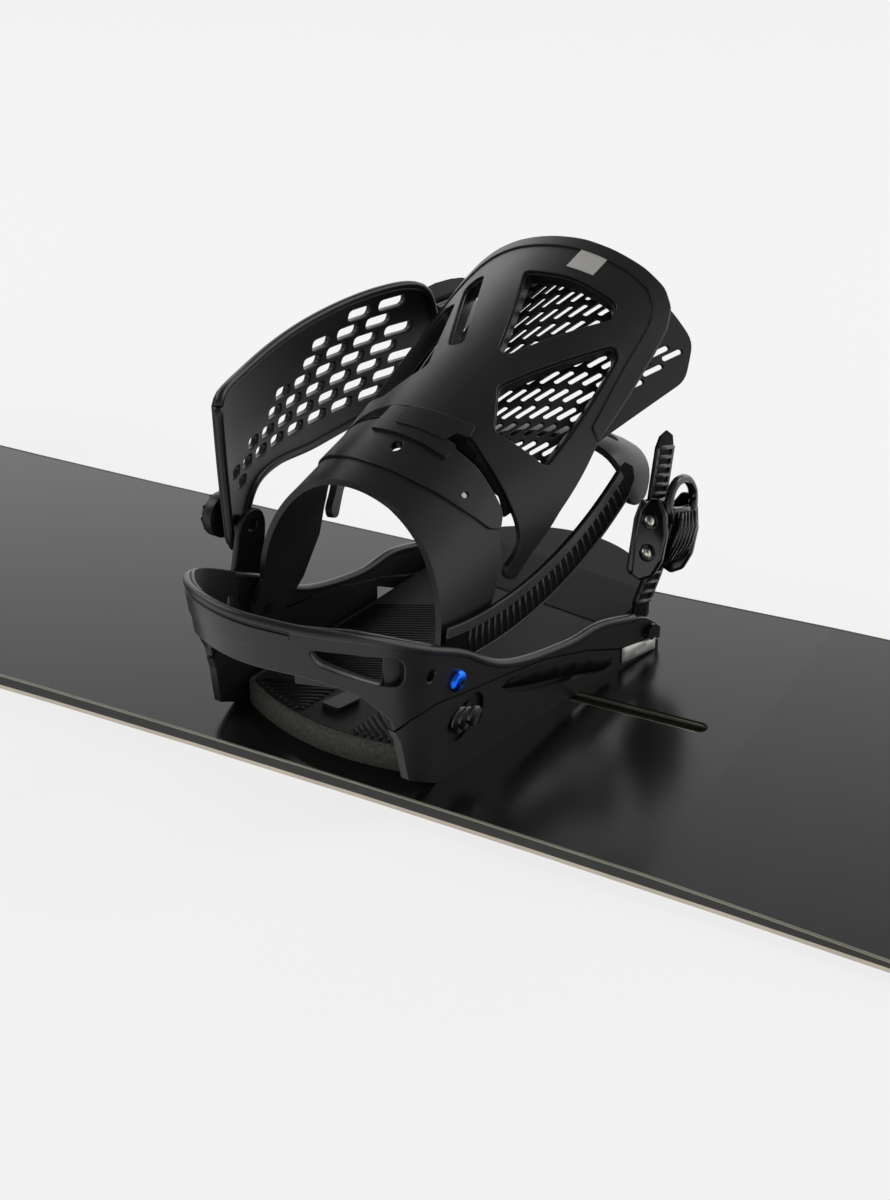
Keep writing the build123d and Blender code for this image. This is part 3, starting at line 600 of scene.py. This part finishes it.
rim = smooth_path(
    [(0, 106.5), (20, 106), (40, 103.5), (58, 99.5), (75, 93), (92, 85), (108, 77),
     (run_at(-80), 66), (run_at(-54), 49), (run_at(-28), 40), (run_at(9), 34), (run_at(34), 34.5),
     (run_at(55), 30), (run_at(76), 23), (run_at(90), 12)], 4)
seam = [(run_at(90), 4.6), (run_at(68), 8.4), (run_at(50), 13.4), (run_at(23), 23.4),
        (run_at(-14), 33.4), (run_at(-46), 38.4), (run_at(-70), 41.4), (run_at(-103), 46.4),
        (90, 44.4), (80, 40.8)]
under = smooth_path([(78.3, 47), (63.8, 63), (48, 72), (29, 77.5), (0, 78.5)], 4)
hoop_half = rim + seam + under
hoop_edge = hoop_half + [(-x, z) for x, z in reversed(hoop_half)][1:-1]
rail_holes = [circle(way * run_at(v), z, 3.2) for way in (-1, 1)
              for v, z in ((PIVOT_V, PIVOT_Z), (-107, 64), (79, 13.5))]
rail_slot = rounded([(38, 93), (42, 84), (57, 76.5), (76, 67), (82, 65.5), (86, 68), (86, 77),
                     (82, 81.5), (73, 84.5), (55, 90)], 3.5)
points, faces = panel(hoop_edge, rail_holes + [rail_slot], 5, on_rail())
piece("hoop_moulding", points, faces, "board", "hoop_nylon", ["heel_hoop"], thick=4.0, bevel=0.9)

rim_line = [(-x, z) for x, z in reversed(rim)][:-1] + rim
rim_line = [p for p in rim_line if abs(p[0]) < run_at(70)]
piece("hoop_rim", *tube([on_rail(-1.8)(x, z - 1.2) for x, z in rim_line], 2.6, 10), "board", "hoop_nylon")

STEP_FAR, STEP_NEAR = run_at(-30), 34     # how far the raised step runs on each side
step_top = [(x, z - 4) for x, z in rim_line if -STEP_FAR < x < STEP_NEAR]
step_low = []
for x, z in step_top:
    tall = 13 - 9 * max(0, abs(x) / STEP_FAR - 0.3)
    step_low.append((x, z - tall * min(1, 1.12 - x / STEP_NEAR)))
points, faces = panel(step_top + step_low[::-1], [], 5, on_rail(0.9))
piece("hoop_step", points, faces, "board", "hoop_nylon", thick=1.4, bevel=0.5)
# the rail slot's inner wall is painted near-black: painted shade inside the slot
points, faces = band(dense(rail_slot, 3), on_rail(-1), on_rail(-8))
piece("slot_wall", points, faces, "board", "hoop_nylon", paint="painted_shade_black", thick=1.4, bevel=0.3)

LINING_START, LINING_TALL = 26, 34
vents = []
for v, z in ((-112, 70), (-94, 60)):
    back, front = -run_at(v - 4), -run_at(v + 4)
    vents.append(rounded([(back, z + 1), (front, z - 2), (front, z - 9), (back, z - 6)], 2.5))
gap = rounded([(34, 98), (38, 84), (56, 72.5), (76, 63), (76, 86), (56, 94)], 3)
inner = [(x, z) for x, z in rim_line if LINING_START < abs(x) < run_at(-98)]
for way, name, openings in ((-1, "hoop_lining_far", vents), (1, "hoop_lining_near", [gap])):
    top = [(x, z - 0.5 + 2.5 * min(1, (abs(x) - LINING_START) / 36)) for x, z in inner if x * way > 0]
    lining = top + [(x, z - LINING_TALL) for x, z in reversed(top)]
    points, faces = panel(lining, openings, 4, on_rail(-3.4))
    piece(name, points, faces, "board", "hoop_nylon", thick=2.0, bevel=0.6)

caps, shafts, washers, recess_shades = [], [], [], []
for way, seat in ((-1, 74.8), (1, 70.2)):     # the blue caps sit further out on the arm's side
    cap_line = [(way * (seat + h), PIVOT_V, PIVOT_Z) for h in (-0.8, 0.6, 1.8, 2.7, 3.0)]
    caps.append(tube(cap_line, [6.0, 6.0, 5.2, 3.6, 2.2], 24))
    shafts.append(tube([(way * h, PIVOT_V, PIVOT_Z) for h in (56, seat)], 2.9, 16))
    recess_shades.append(tube([(way * (seat + h), PIVOT_V, PIVOT_Z) for h in (2.4, 3.2)], 1.7, 6))
    for v, thick, radius in ((-84, 1.2, 7.6), (-80.5, 2.4, 6.6), (-76, 4.4, 5.6)):
        disc = [(way * (69.4 + h), v, 28.5) for h in (0, thick - 0.6, thick)]
        washers.append(tube(disc, [radius, radius, radius - 0.7], 24))
piece("screw_caps", *join(*caps), "board", "blue_anodised", ["pivot_screws"], sharp=60)
piece("screw_shafts", *join(*shafts), "board", "black_steel", sharp=50)
piece("rail_washers", *join(*washers), "board", "buckle_alloy", sharp=50)
# the dark discs on the caps' ends are painted shade in the screws' recesses
piece("screw_recess_shades", *join(*recess_shades), "board", "black_steel", sharp=50)

badge = [(54, 3.0), (84, 0.6), (84, 8.0), (54, 12.5)]
points, faces = panel([(run_at(v), z) for v, z in badge], [], 4, on_rail(0.9))
piece("rail_label", points, faces, "board", "label", thick=0.4)
# a thin near-black sheet on the rail: painted shade in the scoop of its wall
scoop_shade = even([(-50, 32), (-44, 34), (-20, 31), (15, 22), (40, 12.5), (46, 9), (42, 6.5), (30, 8),
              (2, 16), (-30, 25)], 5)
points, faces = panel([(run_at(v), z) for v, z in scoop_shade], [], 5, on_rail(0.35))
piece("rail_scoop_shade", points, faces, "board", "hoop_nylon", paint="painted_shade_black", thick=0.5)


# ------------------------------------------------------------------ heel band collar
def on_band(out):
    """Lifts a flat pattern to this distance outside the heel band, which is a plain arch."""
    return on_arch(lambda s: NECK_R, CROWN, -out)


collar = both_halves([(0, 49), (35, 51), (70, 57), (94, 63), (100, 69), (92, 76), (60, 81), (0, 82)])
collar_holes = [circle(6.6, 65, 4), circle(-65, 64, 2), circle(65, 64, 2)]
points, faces = panel(rounded(collar, 3, 2), collar_holes, 5, on_band(1.5))
piece("band_collar", points, faces, "highback", "shell_nylon", thick=2.0, bevel=0.6)
# a thin near-black sheet on the heel band: painted shade in its recess
recess_shade = rounded([(-40, 84), (0, 88), (45, 91), (80, 91), (98, 82), (96, 74), (84, 79), (50, 83), (0, 83)],
                 2, 2)
points, faces = panel(recess_shade, [], 4, on_band(0.7))
piece("band_recess_shade", points, faces, "highback", "shell_nylon", paint="painted_shade_black", thick=0.5)
clip = rounded([(-8, 84), (-4, 92), (26, 95), (40, 98), (43, 90), (34, 88), (31, 80), (-6, 78)], 1.6, 2)
points, faces = panel(clip, [], 4, on_band(4.2))
piece("adjuster_clip", points, faces, "highback", "shell_nylon", thick=2.6, bevel=0.9)

# ------------------------------------------------------------------ heel pad and footbed treads
HEEL_PAD_TOP = 14.0


def grooves(lines, width, height, level):
    """Low ribs with bevelled tops along straight lines on a surface of the given height."""
    ribs = []
    for (u1, v1), (u2, v2) in lines:
        along = Vector((u2 - u1, v2 - v1)).normalized()
        across = Vector((-along.y, along.x)) * width / 2
        section = [(-1, 0), (-0.7, height), (0.7, height), (1, 0)]
        ribs.append(bar(lambda end, k, h: (end[0] + across.x * k, end[1] + across.y * k, level(end[1]) + h),
                        section, ((u1, v1), (u2, v2))))
    return join(*ribs)


def heel_arc(u):
    """How far back the heel pad reaches at this distance across."""
    return -114 + 15 * (u / 62) ** 2


def footbed_top(v):
    """The footbed's height, rising from the heel to the toes."""
    return 14 + (v + 62.7) / 62.7 if v < 0 else 15 + 3 * v / 62


INWARD, FORWARD = 0.83, 0.56          # the direction of the heel pad's ribs
heel_lines, beads = [], []
for k in range(13):
    for way in (-1, 1):
        u = 56 - 4.4 * k
        v = heel_arc(u) + 4.5
        reach = min((u - 17) / INWARD, (-65 - v) / FORWARD)
        if reach < 3:
            continue
        heel_lines.append(((way * u, v), (way * u - way * INWARD * reach, v + FORWARD * reach)))
        beads.append(tube([(way * u, v, h) for h in (HEEL_PAD_TOP, 15.3)], [1.5, 0.9], 8, up=(1, 0, 0)))
piece("heel_tread", *join(grooves(heel_lines, 1.9, 1.0, lambda v: HEEL_PAD_TOP), *beads), "board",
      "tread_rubber")

TREAD_SLOPE = 0.675                   # of the footbed's ribs, towards the toes as they run inwards
TREAD_EDGE, TREAD_RUN = 61, 60        # where they start across the foot, and how far in they may run
tread_lines = []
for way, count in ((-1, 20), (1, 34)):
    for k in range(count):
        v = -100 + 3.2 * k
        first = max(0, (-60 - v) / TREAD_SLOPE)
        last = min(TREAD_RUN, (60 - v) / TREAD_SLOPE)
        if last > first + 4:
            ends = tuple((-way * (TREAD_EDGE - d), v + TREAD_SLOPE * d) for d in (first, last))
            tread_lines.append(ends)
piece("footbed_tread", *grooves(tread_lines, 1.7, 0.8, footbed_top), "board", "tread_rubber")

skin = [(u, heel_arc(u) + 2) for u in range(-58, 59, 4)] + [(60, -92), (60, -64), (-60, -64), (-60, -92)]
points, faces = panel(skin, [], 6, lambda u, v: (u, v, HEEL_PAD_TOP + 0.25))
piece("heel_skin", points, faces, "board", "eva_foam", paint="tread_rubber", thick=0.5, bevel=0.2)
heel_tab = rounded([(-11, -99), (1, -99), (3, -83), (-8, -82)], 2)
points, faces = panel(heel_tab, [], 4, lambda u, v: (u, v, HEEL_PAD_TOP + 3.5))
piece("heel_tab", points, faces, "board", "buckle_alloy", paint="shell_nylon", thick=3.5, bevel=1.0,
      segments=3)

# ------------------------------------------------------------------ ankle ladder
LADDER_R = 216.0                      # radius of the ladder's curve
LADDER_V, LADDER_Z = -50.0, 282.5     # and its centre
LADDER_U = 60.9                       # the plane that it lies in, across the foot
REACH = LADDER_R * math.radians(38)


def on_ladder(out=0.0):
    """Lifts (distance along the ladder, distance across it) onto its plane, or outside it."""
    def lift(x, y):
        a = math.radians(-94) + x / LADDER_R
        r = LADDER_R + y
        return LADDER_U + out, LADDER_V + r * math.cos(a), LADDER_Z + r * math.sin(a)
    return lift


strip = [(x, -11) for x in range(-24, int(REACH), 8)]
strip += [(REACH, -11), (REACH + 8, -8), (REACH + 11, 0), (REACH + 8, 8), (REACH, 11)]
strip += [(x, 11) for x in range(int(REACH) - 4, -25, -8)]
foot = rounded([(-55, 77.5), (-80, 74), (-92, 71), (-98, 62), (-97, 52), (-90, 44), (-80, 43.8),
                (-62, 55.5), (-50, 57)], 3)
foot_part = panel(foot, [circle(PIVOT_V, PIVOT_Z, 3.1)], 5, lambda v, z: (LADDER_U + 1.4, v, z))
# the ladder's strip and its foot are painted near-black: painted shade in the gaps between the teeth
piece("ladder_strip", *join(panel(strip, [], 5, on_ladder(0.8)), foot_part), "ankle_ladder",
      "ladder_nylon", ["ankle_ladder"], paint="painted_shade_black", thick=0.9, bevel=0.25, segments=1)
borders = []
for outer, inner_y, out in ((-11, -5.2, 2.3), (9.6, 11, 1.6)):
    side_line = [(x, outer) for x in range(-24, int(REACH), 6)] + [(REACH, outer)]
    side_line += [(x, inner_y) for x, _ in reversed(side_line)]
    borders.append(panel(side_line, [], 5, on_ladder(out)))
piece("ladder_border", *join(*borders), "ankle_ladder", "ladder_nylon", thick=1.5, bevel=0.4)
teeth = []
for k in range(27):
    x = k * 5.35 - 3
    section = [(x, 0.7), (x + 0.3, 2.0), (x + 1.1, 2.3), (x + 3.1, 0.7)]
    teeth.append(bar(lambda y, at, h: on_ladder(h)(at, y), section, (-5.6, 9.8)))
piece("ladder_teeth", *join(*teeth), "ankle_ladder", "ladder_nylon")

# ------------------------------------------------------------------ toe cap
LEAN = math.radians(13.5)             # the cap leans towards the toes
TOE_V, TOE_Z = 79.0, 13.5             # its pivots


def on_toe(path, bulge=0.0):
    """Lifts (run along the cap's arch, distance heelwards across it) onto the cap."""
    path = [Vector(p) for p in path]
    runs = [0.0]
    for a, b in zip(path, path[1:]):
        runs.append(runs[-1] + (b - a).length)

    def lift(x, w):
        x = min(max(x, 0), runs[-1])
        k = max(i for i, r in enumerate(runs[:-1]) if r <= x)
        t = (x - runs[k]) / (runs[k + 1] - runs[k])
        p = path[k].lerp(path[k + 1], t)
        sag = bulge * math.sin(math.pi * x / runs[-1]) * (w / 16) ** 2
        q = Vector((p.x * (1 - 0.01 * sag), p.y - sag))
        return (q.x, TOE_V + q.y * math.sin(LEAN) - w * math.cos(LEAN),
                TOE_Z + q.y * math.cos(LEAN) + w * math.sin(LEAN))
    return lift, runs[-1]


cap_path = smooth_path([(-69.6, 12), (-69.6, 40), (-56, 76), (-15, 95), (30, 97), (48.5, 86),
                        (52.8, 66)], 8)
on_cap, reach = on_toe(cap_path, 5)
cap = rounded([(0, -9), (30, -14), (70, -21), (reach - 30, -19), (reach - 4, -9), (reach, 0),
               (reach - 4, 10), (reach - 30, 15), (70, 16), (30, 12), (0, 8)], 8)
cap_holes = [rounded([(44, 2), (78, 4), (112, 4), (112, -8), (78, -10), (44, -6)], 4),
             rounded([(120, 4), (150, 3), (166, 0), (150, -9), (120, -8)], 4)]
cap_foot = rounded([(71, 12), (69, 28), (72, 40), (92, 40), (95, 28), (87, 12), (84, 6), (74, 6)], 3)
blade = panel(cap_foot, [circle(TOE_V, TOE_Z, 3.3)], 4, lambda v, z: (-72.0, v, z))
piece("toe_cap", *join(panel(cap, cap_holes, 5, on_cap), blade), "toe_strap", "strap_rubber",
      ["toe_strap"], thick=4.2, bevel=1.3, segments=3)


# ------------------------------------------------------------------ buckles
def buckle_space(origin, along_x, along_y, outward, start):
    """Places (across the buckle, along its ladder from the start, outwards)."""
    o, ax, ay, az = (Vector(q) for q in (origin, along_x, along_y, outward))
    return lambda x, y, z: tuple(o + ax * x + ay * (y + start) + az * z)


def blocks(space, outlines):
    """Closed solids, each from an outline in (y, z) carried across x from one side to the other."""
    parts = []
    for x1, x2, ring in outlines:
        n = len(ring)
        points = [space(x, y, z) for x in (x1, x2) for y, z in ring]
        faces = [[i, (i + 1) % n, n + (i + 1) % n, n + i] for i in range(n)]
        parts.append((points, faces + [list(range(n))[::-1], list(range(n, 2 * n))]))
    return join(*parts)


# rows along the lever's shield, as (y, half its width, height at its sides, height at its middle)
SHIELD_ROWS = [(9.5, 9.5, 9.0, 11.5), (12, 11, 11, 14), (18, 12.4, 14, 17.5), (27, 12.6, 17, 20.5),
               (36, 11.5, 18, 21), (44, 9, 17, 19)]
SHIELD_WIDE = 7                       # points across each row
SHIELD_THICK = 3.5
# stations along each of its five ribs, as (y, distance to the next rib, height, radius)
RIB_LINE = [(11, 2.6, 13.2, 1.0), (14, 3.6, 15.6, 1.6), (24, 4.2, 20, 1.9), (34, 4.0, 21.6, 1.7),
            (42, 3.2, 20.6, 1.0)]
LOOP_R, LOOP_Y = 13, 46               # the finger loop


def lever_shield(space):
    """A domed plate: an upper and a lower sheet, joined around their edge."""
    top, low = [], []
    for y, half, side, crest in SHIELD_ROWS:
        for k in range(-3, 4):
            z = side + (crest - side) * math.cos(k / 3 * math.pi / 2)
            top.append(space(half * k / 3, y, z))
            low.append(space(half * k / 3 * 0.92, y, z - SHIELD_THICK))
    count, wide, rows = len(top), SHIELD_WIDE, len(SHIELD_ROWS)
    faces = []
    for r in range(rows - 1):
        for c in range(wide - 1):
            a = wide * r + c
            faces += [[a, a + 1, a + wide + 1, a + wide],
                      [count + a + wide, count + a + wide + 1, count + a + 1, count + a]]
    last = wide * (rows - 1)
    edge = list(range(wide)) + [wide * r + wide - 1 for r in range(1, rows)]
    edge += [last + c for c in range(wide - 2, -1, -1)] + [wide * r for r in range(rows - 2, 0, -1)]
    faces += [[b, a, count + a, count + b] for a, b in zip(edge, edge[1:] + edge[:1])]
    return top + low, faces


def dress_buckle(name, space, holder, lever, stands_for, depth, tone):
    """A ratchet buckle on its strap, with a ribbed lever and a finger loop."""
    base = [(1, -1.5), (5, -depth), (34, -depth), (42, -depth * 0.6), (46, -1), (44, 3), (38, 4),
            (22, 3.6), (6, 3.2)]
    cheek = [(3, 1), (20, 0), (40, 1), (48, 6), (49, 12), (42, 17), (30, 19.5), (15, 18.5), (5, 14),
             (1, 7)]
    cheek_in, cheek_out = 13.8, 18.2
    piece(name + "_cup", *blocks(space, [(-15.5, 15.5, base)]), holder, "buckle_alloy",
          [stands_for[0]], bevel=2.2, segments=4, angle=30)
    cheeks = blocks(space, [(-cheek_out, -cheek_in, cheek), (cheek_in, cheek_out, cheek)])
    piece(name + "_cheeks", *cheeks, holder, "buckle_alloy", paint=tone, bevel=1.7, segments=4, angle=20)
    seats, rivets = [], []
    for y, z in ((36, 8.5), (18, 9.5)):
        for x, way in ((-18.0, -1), (18.0, 1)):
            seats.append(tube([space(x + way * h, y, z) for h in (-0.5, 0.7, 0.9)], [5.0, 5.0, 4.2], 20))
            rivets.append(tube([space(x + way * h, y, z) for h in (0.2, 1.2, 1.7)], [3.1, 3.0, 1.6], 18))
    piece(name + "_seats", *join(*seats), holder, "buckle_alloy", sharp=50)
    piece(name + "_rivets", *join(*rivets), holder, "silver_screw", sharp=50)
    piece(name + "_shield", *lever_shield(space), lever, "buckle_alloy", [stands_for[1]], bevel=0.9,
          angle=35)
    radii = [r for _, _, _, r in RIB_LINE]
    ribs = [tube([space(k * apart, y, z) for y, apart, z, _ in RIB_LINE], radii, 8) for k in range(-2, 3)]
    piece(name + "_ribs", *join(*ribs), lever, "buckle_alloy")
    turns = [2 * math.pi * k / 32 for k in range(33)]
    loop = [space(LOOP_R * math.cos(a), LOOP_Y + LOOP_R * math.sin(a), 15.5 - 1.5 * math.sin(a))
            for a in turns]
    piece(name + "_loop", *tube(loop, 2.7, 10), lever, "buckle_alloy")


LEAN_IN = math.radians(1.5)           # the toe ladder leans this much towards the foot's middle
outward = Vector((math.cos(LEAN_IN), 0, math.sin(LEAN_IN)))
toeward = Vector((math.sin(LEAN) * math.sin(LEAN_IN), math.cos(LEAN), -math.sin(LEAN) * math.cos(LEAN_IN)))
upward = outward.cross(toeward)
TOE_PIVOT = (70.4, TOE_V, TOE_Z)
TOE_BUCKLE_START = 30                 # along the toe ladder from its pivot
dress_buckle("toe_latch", buckle_space(TOE_PIVOT, toeward, upward, outward, TOE_BUCKLE_START),
             "toe_strap", "toe_lever", ("toe_buckle", "toe_lever"), 4.6, "buckle_alloy")
# the ankle latch's cheeks take the near-black painted shade
dress_buckle("ankle_latch", buckle_space((-91, 95.5, 151), (0, 0, 0.74), (0, 1, 0), (-1, 0, 0), 0),
             "ankle_strap", "ankle_lever", ("ankle_buckle", "ankle_lever"), 4, "painted_shade_black")

# ------------------------------------------------------------------ toe ladder
toe_space = buckle_space(TOE_PIVOT, toeward, upward, outward, 0)


def bow(y):
    """How far the ladder bends towards the toes between its pivot and the buckle."""
    return 9 * math.sin(math.pi * (y - 10) / 52) ** 2 if 10 < y < 62 else 0.0


def on_toe_ladder(out):
    return lambda x, y: toe_space(x + bow(y), y, out)


ys = list(range(0, 105, 4))
outline = [(-9 if y > 12 else -7.4, y) for y in ys] + [(-6.4, 110), (0, 113), (6.4, 110)]
outline += [(9 if y > 12 else 7.4, y) for y in reversed(ys)] + [(5, -5.5), (0, -7.4), (-5, -5.5)]
# the strip under the teeth is painted near-black: painted shade in the gaps between them
points, faces = panel(outline, [circle(0, 0, 5.0)], 4, on_toe_ladder(0.3))
piece("toe_strip", points, faces, "toe_ladder", "ladder_nylon", ["toe_ladder"], paint="painted_shade_black",
      thick=1.4, bevel=0.3)
above_foot = ys[4:]
sides = []
for x1, x2 in ((-9, -6.6), (6.6, 9)):
    side_line = [(x1, y) for y in above_foot] + [(x2, y) for y in reversed(above_foot)]
    sides.append(panel(side_line, [], 4, on_toe_ladder(1.3)))
piece("toe_strip_border", *join(*sides), "toe_ladder", "ladder_nylon", thick=1.6, bevel=0.4)
teeth = []
for k in range(18):
    y = 14 + 5.2 * k
    section = [(y, 0.3), (y + 0.3, 1.9), (y + 1.4, 2.1), (y + 2.4, 0.3)]
    shift = bow(y)
    teeth.append(bar(lambda x, at, h: toe_space(x + shift, at, h), section, (-6.8, 6.8)))
piece("toe_strip_teeth", *join(*teeth), "toe_ladder", "ladder_nylon")

# ------------------------------------------------------------------ studio
# The light from around depends on height, and blends from WALLS["A"] to WALLS["B"] towards +y.
WALLS = {"A": [(0.0, 0.88), (0.10, 0.55), (0.25, 0.40), (0.6, 0.22), (1.0, 0.20)],
         "B": [(0.0, 0.95), (0.12, 1.50), (0.30, 1.75), (0.42, 1.45), (0.58, 0.60), (0.75, 0.22),
               (1.0, 0.20)]}
world = bpy.data.worlds.new("studio")
scene.world = world
world.use_nodes = True
tree = world.node_tree
sky = tree.nodes["Background"]
direction = node(tree, "ShaderNodeTexCoord", (-1100, 0))
split = node(tree, "ShaderNodeSeparateXYZ", (-900, 0))
facing = node(tree, "ShaderNodeVectorMath", (-900, -250), operation="DOT_PRODUCT")
facing.inputs[1].default_value = (0.05, 0.99, 0)
ahead = node(tree, "ShaderNodeMapRange", (-700, -250), interpolation_type="SMOOTHSTEP")
ahead.inputs["From Min"].default_value = -0.7
ahead.inputs["From Max"].default_value = 1.0
tree.links.new(direction.outputs["Generated"], split.inputs["Vector"])
tree.links.new(direction.outputs["Generated"], facing.inputs[0])
tree.links.new(facing.outputs["Value"], ahead.inputs["Value"])
mixed = node(tree, "ShaderNodeMix", (-200, 0), data_type="RGBA")
for side, levels in WALLS.items():
    ramp = node(tree, "ShaderNodeValToRGB", (-550, 200 if side == "A" else -50))
    for i, (height, level) in enumerate(levels):
        stop = ramp.color_ramp.elements[i] if i < 2 else ramp.color_ramp.elements.new(height)
        stop.position = height
        stop.color = (level, level, level * 1.01, 1)
    tree.links.new(split.outputs["Z"], ramp.inputs["Fac"])
    tree.links.new(ramp.outputs["Color"], mixed.inputs[side])
tree.links.new(ahead.outputs["Result"], mixed.inputs["Factor"])
tree.links.new(mixed.outputs["Result"], sky.inputs["Color"])


def lamp(name, at, target, size, power):
    data = bpy.data.lights.new(name, "AREA")
    data.shape = "RECTANGLE"
    data.size, data.size_y = size
    data.energy = power
    made = bpy.data.objects.new(name, data)
    made.location = at
    made.rotation_euler = (Vector(target) - Vector(at)).to_track_quat("-Z", "Y").to_euler()
    scene.collection.objects.link(made)


BINDING = (0.28, 0, 0.1)
lamp("key", (-1.3, -0.2, 1.3), BINDING, (0.9, 0.9), 7)
lamp("rim", (1.2, 1.0, 1.3), BINDING, (0.8, 0.6), 5)

floor_mesh = bpy.data.meshes.new("floor")
floor_build = bmesh.new()
bmesh.ops.create_grid(floor_build, x_segments=2, y_segments=2, size=60)
floor_build.to_mesh(floor_mesh)
floor_build.free()
floor = bpy.data.objects.new("floor", floor_mesh)
floor.location.z = cad_low[2] - 0.0005
scene.collection.objects.link(floor)
paper = finish("paper", (0.2, 0.2, 0.2), 0.9, bump=0.0, mottle=0.01, spread=0.01, specular=0.1)
paper.node_tree.nodes["Principled BSDF"].inputs["Emission Color"].default_value = (1, 1, 1, 1)
paper.node_tree.nodes["Principled BSDF"].inputs["Emission Strength"].default_value = 0.77
floor_mesh.materials.append(paper)
